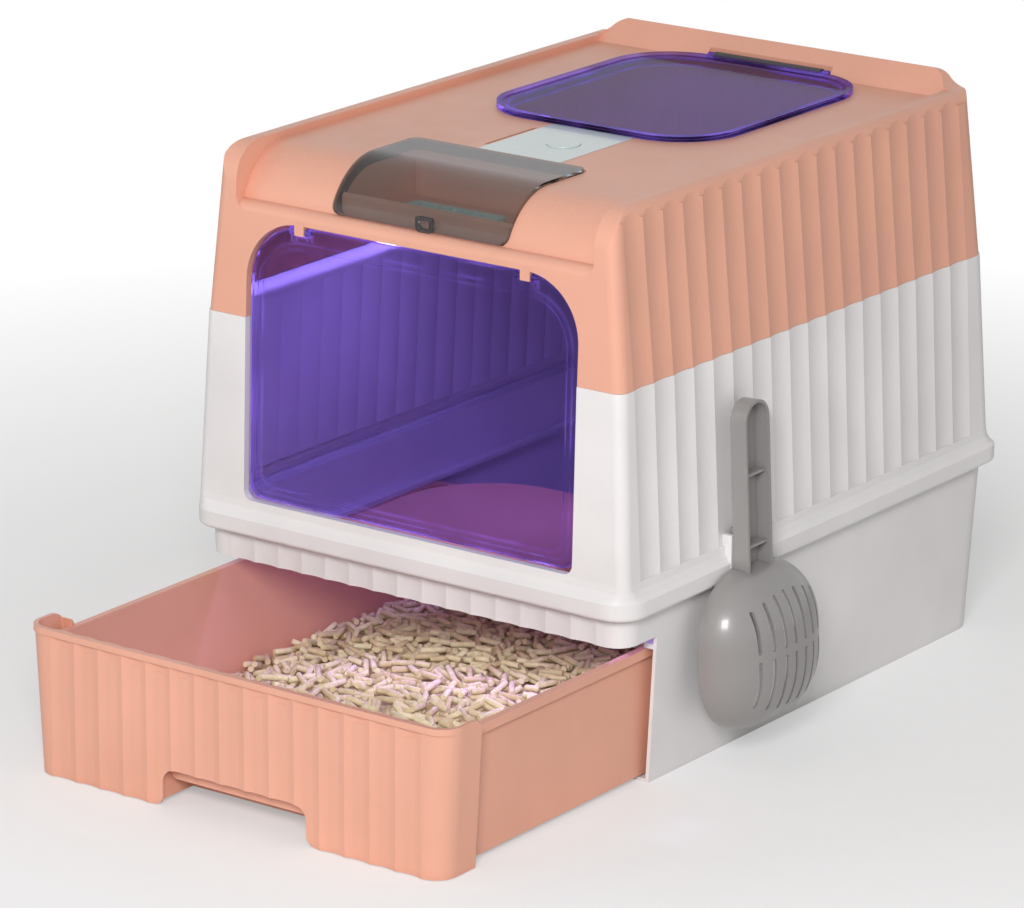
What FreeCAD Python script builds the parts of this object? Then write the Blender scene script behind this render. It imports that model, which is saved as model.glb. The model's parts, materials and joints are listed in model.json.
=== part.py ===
import FreeCAD, Part
import math
import os

# Covered cat litter box: a base with a pull-out litter drawer, a lift-off middle shell with a
# swinging entry door, and a lift-off top cover with a hatch, a deodoriser compartment and a lamp.
# Millimetres. X runs to the right seen from the front, the front is at -Y and Z is up. The origin
# is the centre of the base's underside. The drawer is drawn pulled out.

# Body
flange_half_width = 213.0
flange_half_length = 271.5
wall = 3.0
seat_gap = 0.1
soft_gap = 0.3
pin_clearance = 0.05

# Base
base_inset = 17.5
base_draft = 0.055
base_front_inset = 11.9
base_back_inset = 9.5
base_back_draft = 0.028
base_height = 152.0
base_corner = 18.0
base_back_corner = 28.0
base_heel_radius = 22.0
base_floor = 2.5
floor_setback = 44.6
header_bottom = 119.8
front_flute_pitch = 23.6
flute_depth = 1.8

# Middle shell
skirt_bottom = 144.0
skirt_top = 158.0
skirt_edge_radius = 3.5
flare_top = 172.0
foot_step_side = 6.0
foot_step_front = 5.4
foot_step_back = 9.5
middle_draft = 0.0514
middle_front_draft = 0.031
middle_back_draft = 0.039
seam_height = 320.0
shell_corner = 25.0
wall_corner = 9.0
wall_back_corner = 18.0
side_flute_start = 26.5
side_flute_pitch = 26.06
flare_steps = ((0.0, 0.0), (0.25, 0.5), (0.6, 0.84), (1.0, 1.0))
web_ledge = 9.2
step_seat = 10.8
lip_height = 12.0
lip_thickness = 2.0
lip_foot = 4.0
lip_root = 0.6
lip_gap = 0.6

# Top cover
cover_step = 0.6
cover_draft = 0.0937
cover_front_draft = 0.0397
cover_back_draft = 0.0444
deck_height = 450.0
rim_height = 5.5
rim_inner_half_width = 170.0
rim_side_radius = 9.0
post_radius = 30.0
crest_rise = 19.0
crest_half_width = 120.0
crest_shoulder = 28.0
crest_slope_length = 18.0
crest_edge_radius = 5.0
trough_radius = 55.0
trough_setback = 61.0
ledge_drop = 38.0
ledge_radius = 8.0
trough_corner = 12.0

# Entry opening and door
entry_half_width = 158.5
entry_sill_rise = 0.8
entry_drop = 49.5
entry_arch_radius = 50.0
entry_sill_radius = 8.0
jamb_depth = 6.0
door_gap = 2.0
door_thickness = 3.0
door_foot_radius = 12.0
door_pin_room = 0.3
door_bead = 5.0
door_bead_height = 0.8
door_bead_inset = 6.0
pivot_drop = 5.2
pivot_setback = 3.5
door_offset = 2.5
lug_start = 103.0
lug_width = 9.0
lug_depth = 7.0
lug_foot = 2.8
door_pin_radius = 1.5
door_ear_radius = 3.2
door_ear_width = 4.8

# Drawer
drawer_travel = 218.0
drawer_length = 504.0
drawer_top = 119.0
drawer_bottom = 0.5
return_length = 42.0
shoulder_radius = 13.0
bead_height = 5.0
bead_stand = 1.5
tray_side_gap = 5.5
tray_draft = 0.024
tray_bottom = 4.0
tray_top = 107.0
tray_lip_height = 7.5
tray_lip_width = 3.0
tray_corner = 12.0
notch_half_width = 69.0
notch_height = 31.0
notch_radius = 12.0
notch_foot_radius = 8.0
grip_radius = 6.0
pocket_margin = 3.0
pocket_depth = 38.0
grip_setback = 12.0
grip_drop = 14.0
rail_half_spacing = 150.0
rail_width = 8.0
keeper_height = 4.0
litter_low = 28.0
litter_high = 64.0

# Entry step
step_half_width = 102.0
step_length = 208.0
step_thickness = 3.0
step_corner = 85.0
step_rib_height = 6.0
step_gap = 0.5

# Hatch
hatch_half_width = 111.5
hatch_front = -35.5
hatch_back = 224.7
hatch_corner = 57.0
hatch_plate = 3.0
hatch_bead = 1.5
hatch_bead_width = 5.0
hatch_overlap = 7.5
hatch_skirt_depth = 7.0
hatch_skirt_thickness = 1.6
hinge_strip_length = 105.0
hinge_setback = 4.8
hinge_rise = 3.0
hinge_pin_radius = 1.5
hinge_ear_width = 6.0
hinge_ear_radius = 2.7
strip_depth = 8.0

# Control panel and button
panel_left = -27.0
panel_right = 51.0
panel_front = -137.0
panel_gap = 0.5
panel_thickness = 1.9
panel_stand = 0.4
button_x = 19.0
button_y = -86.0
button_radius = 13.5
button_travel = 1.3
button_stand = 0.9
button_flange = 1.5
slit_width = 3.0
slit_length = 68.0

# Deodoriser flap, tray and cartridge
flap_half_width = 83.0
flap_rear = -143.0
flap_plate = 2.4
flap_skirt_depth = 8.0
flap_skirt_thickness = 1.6
flap_lip_angle = 18.2
flap_gap = 0.6
flap_rear_gap = 2.2
flap_corner = 8.0
flap_pin_setback = 14.0
flap_pin_drop = 4.8
flap_pin_radius = 1.4
tray_wall = 2.2
deodoriser_drop = 47.0
tray_front_gap = 4.5
cartridge_left = -57.0
cartridge_right = 30.0
cartridge_length = 58.0
cartridge_height = 7.0
latch_centre = 8.0
latch_width = 16.0
latch_height = 12.0

# Module under the deck
module_half_width = 75.0
module_front = -138.0
module_length = 98.0
module_drop = 46.0
module_wall = 2.0
ear_size = 11.0
screw_radius = 1.5
screw_length = 8.0
fan_size = 60.0
fan_depth = 15.0
fan_x = -38.0
fan_y = -90.0
fan_bore = 28.6
fan_blade_gap = 1.0
fan_hub = 11.0
fan_blades = 7
fan_shaft_radius = 1.5
filter_height = 12.0
board_thickness = 1.6
board_drop = 18.0
cell_radius = 9.0
cell_length = 65.0
switch_size = 6.0
switch_height = 5.0
port_x = 50.0
port_width = 9.0
port_height = 3.2
port_depth = 8.0
lamp_length = 120.0
lamp_width = 15.0
lamp_depth = 7.0
lamp_front = -120.0
lamp_count = 8

# Scoop and its hanger
scoop_y = -115.0
scoop_gap = 2.0
scoop_lean = 2.75
handle_width = 33.0
handle_depth = 14.0
handle_wall = 2.5
handle_top = 286.0
bowl_top = 154.0
bowl_bottom = 28.0
bowl_half_width = 67.0
bowl_depth = 46.0
bowl_corner = 50.0
bowl_wall = 2.2
slot_count = 7
slot_pitch = 13.3
slot_width = 3.6
hanger_width = 36.0
hanger_height = 30.0
hanger_wall = 2.0
hook_thickness = 2.0
hook_drop = 8.0

V = FreeCAD.Vector
tiny = 1e-6

# Derived levels
web_bottom = base_height + seat_gap
web_top = web_bottom + wall
cover_bottom = seam_height + seat_gap
rim_top = deck_height + rim_height
deck_bottom = deck_height - wall
wall_top = deck_height + crest_rise + 5.0
deodoriser_floor = deck_height - deodoriser_drop
module_bottom = deck_height - module_drop
board_height = deck_height - board_drop
panel_back = hatch_front - panel_gap
entry_sill = flare_top + entry_sill_rise
entry_top = deck_height - entry_drop
trough_z = deck_height - trough_radius
ledge_z = deck_height - ledge_drop
pivot_z = entry_top - pivot_drop
above_all = deck_height + crest_rise + 30.0


def base_plan(z):
    """Half width, front and back of the base at a height."""
    half_width = flange_half_width - base_inset + base_draft * z
    front = base_front_inset - flange_half_length
    back = flange_half_length - base_back_inset + base_back_draft * z
    return half_width, front, back


def middle_plan(z):
    """Half width, front and back of the middle shell's wall at a height."""
    rise = z - flare_top
    half_width = flange_half_width - foot_step_side - middle_draft * rise
    front = foot_step_front - flange_half_length + middle_front_draft * rise
    back = flange_half_length - foot_step_back - middle_back_draft * rise
    return half_width, front, back


def cover_plan(z):
    """Half width, front and back of the top cover's wall at a height."""
    half_width, front, back = middle_plan(seam_height)
    rise = z - seam_height
    return (
        half_width - cover_step - cover_draft * rise,
        front + cover_step + cover_front_draft * rise,
        back - cover_step - cover_back_draft * rise,
    )


def flange_plan(z):
    """Half width, front and back of the flange's skirt."""
    return flange_half_width, -flange_half_length, flange_half_length


def even_ridges(half_span, pitch):
    """Ridge places of flutes centred on zero that fit within a half span."""
    count = int(2.0 * half_span / pitch)
    return [(index - count / 2.0) * pitch for index in range(count + 1)]


def run_of_ridges(first, last, pitch):
    """Ridge places that start at first and stay before last."""
    count = int((last - first) / pitch)
    return [first + index * pitch for index in range(count + 1)]


shell_side_ridges = run_of_ridges(
    side_flute_start - flange_half_length,
    cover_plan(wall_top)[2] - wall_back_corner - 1.0,
    side_flute_pitch,
)
shell_back_ridges = even_ridges(
    cover_plan(wall_top)[0] - wall_back_corner - 1.0, side_flute_pitch)
front_ridges = even_ridges(base_plan(0.0)[0] - base_corner, front_flute_pitch)


def fluted_run(start, end, ridges, inward):
    """Edges from start to end, with a shallow arc between each two ridge points."""
    edges = []
    stops = [start] + ridges + [end]
    for index in range(len(stops) - 1):
        low, high = stops[index], stops[index + 1]
        if 0 < index < len(stops) - 2:
            middle = (low + high) * 0.5 + inward * flute_depth
            edges.append(Part.Arc(low, middle, high).toShape())
        else:
            edges.append(Part.LineSegment(low, high).toShape())
    return edges


def corner_arc(cx, cy, z, radius, start_degrees):
    """Quarter circle that turns left from a start angle."""
    points = []
    for turn in (0.0, 45.0, 90.0):
        angle = math.radians(start_degrees + turn)
        points.append(V(cx + radius * math.cos(angle), cy + radius * math.sin(angle), z))
    return Part.Arc(*points).toShape()


def outline(plan, z, radii, inset=0.0, front=(), side=(), back=()):
    """Closed outline of a body at a height, with flutes where ridge places are given."""
    half_width, y_front, y_back = plan(z)
    half_width -= inset
    y_front += inset
    y_back -= inset
    r_front = max(radii[0] - inset, 1.0)
    r_back = max(radii[1] - inset, 1.0)
    edges = fluted_run(
        V(-half_width + r_front, y_front, z), V(half_width - r_front, y_front, z),
        [V(x, y_front, z) for x in front], V(0, 1, 0))
    edges.append(corner_arc(half_width - r_front, y_front + r_front, z, r_front, -90))
    edges += fluted_run(
        V(half_width, y_front + r_front, z), V(half_width, y_back - r_back, z),
        [V(half_width, y, z) for y in side], V(-1, 0, 0))
    edges.append(corner_arc(half_width - r_back, y_back - r_back, z, r_back, 0))
    edges += fluted_run(
        V(half_width - r_back, y_back, z), V(-half_width + r_back, y_back, z),
        [V(x, y_back, z) for x in reversed(back)], V(0, -1, 0))
    edges.append(corner_arc(-half_width + r_back, y_back - r_back, z, r_back, 90))
    edges += fluted_run(
        V(-half_width, y_back - r_back, z), V(-half_width, y_front + r_front, z),
        [V(-half_width, y, z) for y in reversed(side)], V(1, 0, 0))
    edges.append(corner_arc(-half_width + r_front, y_front + r_front, z, r_front, 180))
    return Part.Wire(edges)


def loft(*wires):
    """Solid through closed outlines, with straight sides between them."""
    return Part.makeLoft(list(wires), True, True)


def box(x0, x1, y0, y1, z0, z1):
    """Box between two corners."""
    return Part.makeBox(x1 - x0, y1 - y0, z1 - z0, V(x0, y0, z0))


def cylinder_x(radius, x0, x1, y, z):
    """Round bar along X."""
    return Part.makeCylinder(radius, x1 - x0, V(x0, y, z), V(1, 0, 0))


def cylinder_z(radius, x, y, z0, z1):
    """Round bar along Z."""
    return Part.makeCylinder(radius, z1 - z0, V(x, y, z0), V(0, 0, 1))


def fused(shapes):
    """Union of several solids."""
    return shapes[0].multiFuse(shapes[1:]).removeSplitter()


def path_face(points):
    """Face inside a closed path: a plain point ends a line, and (middle, end) ends an arc."""
    edges = []
    start = points[0]
    for item in points[1:] + [points[0]]:
        if isinstance(item, tuple):
            edges.append(Part.Arc(start, item[0], item[1]).toShape())
            start = item[1]
        elif start.distanceToPoint(item) > tiny:
            edges.append(Part.LineSegment(start, item).toShape())
            start = item
    return Part.Face(Part.Wire(edges))


def arc_to(cx, cy, radius, start_degrees, end_degrees, place):
    """Middle and end of an arc, placed in space by a function of two coordinates."""
    points = []
    for angle in ((start_degrees + end_degrees) / 2.0, end_degrees):
        turn = math.radians(angle)
        points.append(place(cx + radius * math.cos(turn), cy + radius * math.sin(turn)))
    return tuple(points)


def side_point(x):
    """Places a (y, z) pair on the plane at x."""
    return lambda y, z: V(x, y, z)


def front_point(y):
    """Places an (x, z) pair on the plane at y."""
    return lambda x, z: V(x, y, z)


def rounded_panel(x0, x1, low, high, radii, place):
    """Face of a rectangle with its lower and upper corners rounded."""
    r_low, r_high = radii
    return path_face([
        place(x0 + r_low, low),
        place(x1 - r_low, low),
        arc_to(x1 - r_low, low + r_low, r_low, -90, 0, place),
        place(x1, high - r_high),
        arc_to(x1 - r_high, high - r_high, r_high, 0, 90, place),
        place(x0 + r_high, high),
        arc_to(x0 + r_high, high - r_high, r_high, 90, 180, place),
        place(x0, low + r_low),
        arc_to(x0 + r_low, low + r_low, r_low, 180, 270, place),
    ])


def plate(x0, x1, y0, y1, radii, z0, z1):
    """Flat plate with its front and back corners rounded."""
    face = rounded_panel(x0, x1, y0, y1, radii, lambda x, y: V(x, y, z0))
    return face.extrude(V(0, 0, z1 - z0))


# Base and drawer


def heel_prism(inset):
    """Side view of the base, with its lower back edge rounded."""
    half_width, front, back = base_plan(0.0)
    reach = half_width + 60.0
    place = side_point(-reach)
    radius = base_heel_radius - inset
    low = inset
    back -= inset
    lean = base_back_draft * (base_height + 40.0)
    return path_face([
        place(front - 40.0, low),
        place(back - radius, low),
        arc_to(back - radius, low + radius, radius, -90, 0, place),
        place(back + lean, base_height + 40.0),
        place(front - 40.0, base_height + 40.0),
    ]).extrude(V(2.0 * reach, 0, 0))


def build_base_shell():
    """Open-fronted base with a fluted header band, floor rails and drawer keepers."""
    radii = (base_corner, base_back_corner)
    half_width, front, back = base_plan(0.0)
    outer = loft(
        outline(base_plan, 0.0, radii, 0.0, front_ridges),
        outline(base_plan, base_height, radii, 0.0, front_ridges))
    outer = outer.common(heel_prism(0.0))
    inner = loft(
        outline(base_plan, base_floor, radii, wall, front_ridges),
        outline(base_plan, base_height + wall, radii, wall, front_ridges))
    inner = inner.common(heel_prism(base_floor))
    shell = outer.cut(inner)
    mouth = front + floor_setback
    reach = half_width + 60.0
    shell = shell.cut(box(-reach, reach, front - 40.0, mouth, -wall, header_bottom))
    rail_back = back - base_heel_radius - 10.0
    extras = []
    for side in (-1.0, 1.0):
        centre = side * rail_half_spacing
        extras.append(box(
            centre - rail_width / 2.0, centre + rail_width / 2.0, mouth, rail_back,
            base_floor, tray_bottom - seat_gap))
        keeper_z = tray_top + 1.0 + soft_gap
        inner_edge = tray_outer(tray_top) + soft_gap
        wall_middle = base_plan(keeper_z)[0] - wall / 2.0
        low, high = sorted((side * inner_edge, side * wall_middle))
        extras.append(box(low, high, mouth, rail_back, keeper_z, keeper_z + keeper_height))
    return fused([shell] + extras)


def tray_outer(z):
    """Half width of the drawer's tray at a height."""
    return flange_half_width - base_inset - wall - tray_side_gap + tray_draft * z


def tray_plan(z):
    """Half width, front and back of the drawer's tray, closed."""
    front = base_plan(0.0)[1] - soft_gap
    return tray_outer(z), front + wall / 2.0, front + drawer_length


def drawer_front_plan(z):
    """Half width, front and back of the drawer's front, closed."""
    half_width, front, back = base_plan(z)
    return half_width, front - soft_gap, front - soft_gap + return_length


def build_drawer_front():
    """Fluted front with rounded corners, side returns and a top bead."""
    radii = (base_corner, 1.0)
    outer = loft(
        outline(drawer_front_plan, drawer_bottom, radii, 0.0, front_ridges),
        outline(drawer_front_plan, drawer_top, radii, 0.0, front_ridges))
    inner = loft(
        outline(drawer_front_plan, drawer_bottom - 1.0, radii, wall, front_ridges),
        outline(drawer_front_plan, drawer_top + 1.0, radii, wall, front_ridges))
    half_width, front, back = drawer_front_plan(drawer_top)
    inner_width = tray_outer(drawer_top) - wall / 2.0
    middle = box(-inner_width, inner_width, front + 3.0 * wall, back + 1.0, -wall, drawer_top + 1.0)
    frame = outer.cut(inner).cut(middle)
    shoulder = shoulder_radius
    place = side_point(-half_width - 10.0)
    fall = path_face([
        place(back - shoulder, drawer_top),
        arc_to(back - shoulder, drawer_top - shoulder, shoulder, 90, 0, place),
        place(back + 5.0, drawer_top - shoulder),
        place(back + 5.0, drawer_top + 5.0),
        place(back - shoulder, drawer_top + 5.0),
    ]).extrude(V(2.0 * half_width + 20.0, 0, 0))
    frame = frame.cut(fall)
    return frame.fuse(drawer_bead()).removeSplitter()


def drawer_bead():
    """Bead along the top of the drawer's front and round its corners."""
    low = drawer_top - bead_height

    def bead_plan(z):
        half_width, front, back = drawer_front_plan(drawer_top)
        return half_width, front - bead_stand, front + return_length / 2.0

    radii = (base_corner, 1.0)
    band = loft(
        outline(bead_plan, low, radii), outline(bead_plan, drawer_top, radii))
    hollow = loft(
        outline(bead_plan, low - 1.0, radii, wall), outline(bead_plan, drawer_top + 1.0, radii, wall))
    back = bead_plan(0.0)[2]
    reach = flange_half_width + 20.0
    opened = box(-reach, reach, back - wall - 1.0, back + 1.0, low - 1.0, drawer_top + 1.0)
    return band.cut(hollow).cut(opened)


def build_drawer_tray():
    """Tapered tray with a turned-out lip."""
    radii = (tray_corner, tray_corner)
    outer = loft(outline(tray_plan, tray_bottom, radii), outline(tray_plan, tray_top, radii))
    inner = loft(
        outline(tray_plan, tray_bottom + wall, radii, wall),
        outline(tray_plan, tray_top + 2.0 * wall, radii, wall))

    def lip_plan(z):
        half_width, front, back = tray_plan(tray_top)
        return half_width + tray_lip_width, front + wall / 2.0, back + tray_lip_width

    lip_top = tray_top + 1.0
    lip = loft(
        outline(lip_plan, lip_top - tray_lip_height, radii), outline(lip_plan, lip_top, radii))
    return outer.fuse(lip).cut(inner)


def grip_pocket(grown, front):
    """Space or casing of the finger pocket behind the drawer's front."""
    half_width = notch_half_width + pocket_margin + grown
    top = notch_height + pocket_margin + grown
    return box(-half_width, half_width, front, front + pocket_depth + grown, drawer_bottom - 1.0, top)


def notch_flares(front):
    """Rounds between the sides of the finger notch and the drawer's lower edge."""
    radius = notch_foot_radius
    top = drawer_bottom + radius
    flares = []
    for side in (-1.0, 1.0):
        centre = side * (notch_half_width + radius)
        low, high = sorted((side * notch_half_width, centre))
        block = box(low, high, front - wall, front + 2.0 * wall, drawer_bottom - 1.0, top)
        flares.append(block.cut(Part.makeCylinder(
            radius, 5.0 * wall, V(centre, front - 2.0 * wall, top), V(0, 1, 0))))
    return flares


def build_litter_drawer():
    """Drawer in one piece, pulled out by its travel."""
    front = drawer_front_plan(0.0)[1]
    body = build_drawer_tray().fuse(build_drawer_front())
    casing = grip_pocket(wall, front + wall / 2.0)
    casing = casing.common(box(-flange_half_width, flange_half_width, front, 0.0, tray_bottom, tray_top))
    body = body.fuse(casing)
    body = body.cut(grip_pocket(0.0, front + wall))
    notch = rounded_panel(
        -notch_half_width, notch_half_width, -40.0, notch_height, (1.0, notch_radius),
        front_point(front - 10.0)).extrude(V(0, 10.0 + 2.0 * wall, 0))
    for opening in [notch] + notch_flares(front):
        body = body.cut(opening)
    top = notch_height + pocket_margin
    grip = rounded_panel(
        -notch_half_width, notch_half_width, top - grip_drop, top + 1.0, (grip_radius, 0.5),
        front_point(front + grip_setback)).extrude(V(0, wall, 0))
    body = body.fuse(grip).removeSplitter()
    body.translate(V(0, -drawer_travel, 0))
    return body


def build_litter_bed():
    """Heap of wood pellets as one solid, low at the left and high at the right."""
    half_width, front, back = tray_plan(tray_bottom + wall)
    half_width -= wall + soft_gap
    bottom = tray_bottom + wall
    place = front_point(front + wall + soft_gap)
    low, high = litter_low, litter_high
    heap = path_face([
        place(-half_width, bottom),
        place(half_width, bottom),
        place(half_width, high),
        place(half_width / 4.0, high - 2.0),
        place(-half_width / 3.0, (low + high) / 2.0 + 4.0),
        place(-half_width * 0.7, low + 6.0),
        place(-half_width, low),
    ]).extrude(V(0, back - front - 2.0 * (wall + soft_gap), 0))
    radii = (tray_corner, tray_corner)
    room = loft(
        outline(tray_plan, bottom, radii, wall + soft_gap),
        outline(tray_plan, tray_top, radii, wall + soft_gap))
    pocket = grip_pocket(wall + soft_gap, front)
    heap = heap.common(room).cut(pocket)
    heap.translate(V(0, -drawer_travel, 0))
    return heap


# Middle shell


def arch_face(half_width, low, high, radii, y):
    """Entry outline: arched top corners and small lower corners."""
    return rounded_panel(-half_width, half_width, low, high, radii, front_point(y))


def arch_prism(grown):
    """Entry opening through the front, grown by an amount on all sides."""
    front = middle_plan(flare_top)[1]
    face = arch_face(
        entry_half_width + grown, entry_sill - grown, entry_top + grown,
        (entry_sill_radius + grown, entry_arch_radius + grown), front - 30.0)
    return face.extrude(V(0, 30.0 + 40.0, 0))


def front_slab(plan, low, high, depth):
    """Leaning slab behind the front face, between two heights."""
    place = side_point(-flange_half_width)
    near, far = plan(low)[1], plan(high)[1]
    return path_face([
        place(near - 10.0, low), place(near + depth, low),
        place(far + depth, high), place(far - 10.0, high),
    ]).extrude(V(2.0 * flange_half_width, 0, 0))


def jamb(plan, outer, low, high):
    """Turned-in edge round the entry opening."""
    ring = arch_prism(wall).cut(arch_prism(0.0))
    return outer.common(ring).common(front_slab(plan, low, high, jamb_depth))


def flare_outline(rise, step, inset):
    """Outline within the hollow flare, at a share of its height and of its step."""
    z = skirt_top + rise * (flare_top - skirt_top)
    wide, narrow = flange_plan(z), middle_plan(flare_top)
    plan = tuple(a + step * (b - a) for a, b in zip(wide, narrow))
    radii = tuple(
        shell_corner + step * (corner - shell_corner) for corner in (wall_corner, wall_back_corner))
    return outline(lambda height: plan, z, radii, inset)


def flare_solid(inset):
    """Hollow-sided flare between the flange and the wall."""
    return loft(*[flare_outline(rise, step, inset) for rise, step in flare_steps])


def middle_envelope():
    """Filled outside shape of the middle shell."""
    radii = (shell_corner, shell_corner)
    corners = (wall_corner, wall_back_corner)
    flutes = {"side": shell_side_ridges, "back": shell_back_ridges}
    skirt = loft(outline(flange_plan, skirt_bottom, radii), outline(flange_plan, skirt_top, radii))
    lower = [e for e in skirt.Edges if abs(e.BoundBox.ZMax - skirt_bottom) < 0.01]
    skirt = skirt.makeFillet(skirt_edge_radius, lower)
    wall_solid = loft(
        outline(middle_plan, flare_top, corners, **flutes),
        outline(middle_plan, seam_height, corners, **flutes))
    return fused([skirt, flare_solid(0.0), wall_solid])


def middle_walls():
    """Fluted wall on a flange skirt, with the entry cut and its edge turned in."""
    radii = (shell_corner, shell_corner)
    corners = (wall_corner, wall_back_corner)
    flutes = {"side": shell_side_ridges, "back": shell_back_ridges}
    outer = middle_envelope()
    below_web = loft(
        outline(flange_plan, skirt_bottom - 1.0, radii, wall),
        outline(flange_plan, web_bottom, radii, wall))
    above_web = loft(
        outline(flange_plan, web_top, radii, wall),
        outline(flange_plan, skirt_top, radii, wall))
    flare_room = flare_solid(wall)
    wall_room = loft(
        outline(middle_plan, flare_top, corners, wall, **flutes),
        outline(middle_plan, seam_height + 1.0, corners, wall, **flutes))

    def web_plan(z):
        half_width, front, back = flange_plan(z)
        return half_width, front + step_seat, back

    web_hole = loft(
        outline(web_plan, web_bottom - 0.5, radii, wall + web_ledge),
        outline(web_plan, web_top + 0.5, radii, wall + web_ledge))
    shell = outer.cut(below_web).cut(above_web.fuse(flare_room)).cut(wall_room).cut(web_hole)
    shell = shell.fuse(jamb(middle_plan, outer, flare_top - wall, seam_height))
    shell = shell.fuse(locating_lip())
    return shell.cut(arch_prism(0.0))


def frame_zones():
    """Blocks round the lower part of the entry: the sill, its two corners and the two posts."""
    low = entry_sill - wall
    corner = entry_sill + entry_sill_radius
    inner = entry_half_width - entry_sill_radius
    outer = entry_half_width + wall
    front = middle_plan(flare_top)[1]
    near, far = front - wall, front + jamb_depth + wall
    zones = [box(-inner, inner, near, far, low, entry_sill)]
    for side in (-1.0, 1.0):
        for reach, z0, z1 in ((inner, low, corner), (entry_half_width, corner, seam_height)):
            x0, x1 = sorted((side * reach, side * outer))
            zones.append(box(x0, x1, near, far, z0, z1))
    return zones


def build_middle_shell():
    """Fluted wall on a flange skirt that sits over the base's rim."""
    shell = middle_walls()
    for zone in frame_zones():
        shell = shell.cut(zone)
    return shell


def build_entry_frame():
    """Sill, corners and posts of the entry, flush with the middle shell."""
    walls = middle_walls()
    return Part.makeCompound([walls.common(zone) for zone in frame_zones()])


def locating_lip():
    """Upstand inside the seam that locates the cover, left out over the entry."""
    radii = (wall_corner, wall_back_corner)
    face = cover_step + wall + flute_depth + lip_gap
    foot = seam_height - lip_foot
    root = wall - lip_root
    ledge = loft(
        outline(middle_plan, foot, radii, root),
        outline(middle_plan, seam_height, radii, root))
    upstand = loft(
        outline(middle_plan, seam_height, radii, face),
        outline(cover_plan, seam_height + lip_height, radii, face - cover_step))
    hollow = loft(
        outline(middle_plan, foot - 1.0, radii, face + lip_thickness),
        outline(middle_plan, seam_height + lip_height + 1.0, radii, face + lip_thickness))
    front = middle_plan(seam_height)[1]
    gap = box(
        -entry_half_width - wall, entry_half_width + wall, front - 5.0, front + 60.0,
        foot - 1.0, seam_height + lip_height + 1.0)
    return ledge.fuse(upstand).cut(hollow).cut(gap)


def build_entry_step():
    """Tongue-shaped plate inside the entry, with two ribs below."""
    front = base_plan(base_height)[1] + wall + flute_depth + step_gap
    top = web_bottom
    low = top - step_thickness
    tongue = plate(
        -step_half_width, step_half_width, front, front + step_length, (4.0, step_corner), low, top)
    ribs = []
    for side in (-1.0, 1.0):
        x = side * step_half_width / 2.0
        ribs.append(box(
            x - wall / 2.0, x + wall / 2.0, front + 2.0, front + step_length / 2.0,
            low - step_rib_height, low))
    return fused([tongue] + ribs)


# Top cover


def edge_arc(height, radius):
    """Centre and lower tangent point of a round that joins a level face to the cover's front."""
    slope = cover_front_draft
    length = math.sqrt(1.0 + slope * slope)
    centre_z = height - radius
    centre_y = cover_plan(centre_z)[1] + radius * length
    tangent = (centre_y - radius / length, centre_z + radius * slope / length)
    return centre_y, centre_z, tangent


def trough_centre_y():
    """Axis of the curved front of the deck."""
    return cover_plan(deck_height)[1] + trough_setback


def lean_angle():
    """Angle in degrees of the cover's front from upright."""
    return math.degrees(math.atan(cover_front_draft))


def side_profile():
    """Side view of the cover: rounded front posts and rounded back edge."""
    centre_y, centre_z, tangent = edge_arc(rim_top, post_radius)
    crest = deck_height + crest_rise
    back = cover_plan(crest)[2]
    place = side_point(-flange_half_width)
    low = seam_height - 20.0
    return path_face([
        place(-flange_half_length - 20.0, low),
        place(flange_half_length + 20.0, low),
        place(flange_half_length + 20.0, crest - crest_edge_radius),
        place(back, crest - crest_edge_radius),
        arc_to(back - crest_edge_radius, crest - crest_edge_radius, crest_edge_radius, 0, 90, place),
        place(back - crest_slope_length, crest),
        place(back - crest_slope_length, rim_top),
        place(centre_y, rim_top),
        arc_to(centre_y, centre_z, post_radius, 90, 180 - lean_angle(), place),
        place(-flange_half_length - 20.0, tangent[1]),
    ]).extrude(V(2.0 * flange_half_width, 0, 0))


def end_profile(y0, y1, crested):
    """Front view of the cover: rounded sides, and the raised crest at the back."""
    half_width = cover_plan(rim_top)[0]
    radius = rim_side_radius
    place = front_point(y0)
    low = seam_height - 20.0
    points = [
        place(-flange_half_width, low),
        place(flange_half_width, low),
        place(flange_half_width, rim_top - radius),
        place(half_width, rim_top - radius),
        arc_to(half_width - radius, rim_top - radius, radius, 0, 90, place),
    ]
    if crested:
        points += crest_line(half_width - radius, place)
    points += [
        place(-half_width + radius, rim_top),
        arc_to(-half_width + radius, rim_top - radius, radius, 90, 180, place),
        place(-flange_half_width, rim_top - radius),
    ]
    return path_face(points).extrude(V(0, y1 - y0, 0))


def crest_line(half_width, place):
    """Path over the back crest: a foot arc and a shoulder arc on each side of a flat."""
    top = deck_height + crest_rise
    rise = top - rim_top
    run = min(crest_shoulder, half_width - 5.0)
    outer = half_width
    radius = (run * run + rise * rise) / (4.0 * rise)
    half_turn = math.degrees(math.asin(run / 2.0 / radius))
    foot = outer, rim_top + radius
    shoulder = outer - run, top - radius
    return [
        arc_to(foot[0], foot[1], radius, -90, -90 - half_turn, place),
        arc_to(shoulder[0], shoulder[1], radius, 90 - half_turn, 90, place),
        place(-outer + run, top),
        arc_to(-shoulder[0], shoulder[1], radius, 90, 90 + half_turn, place),
        arc_to(-foot[0], foot[1], radius, half_turn - 90, -90, place),
    ]


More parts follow.
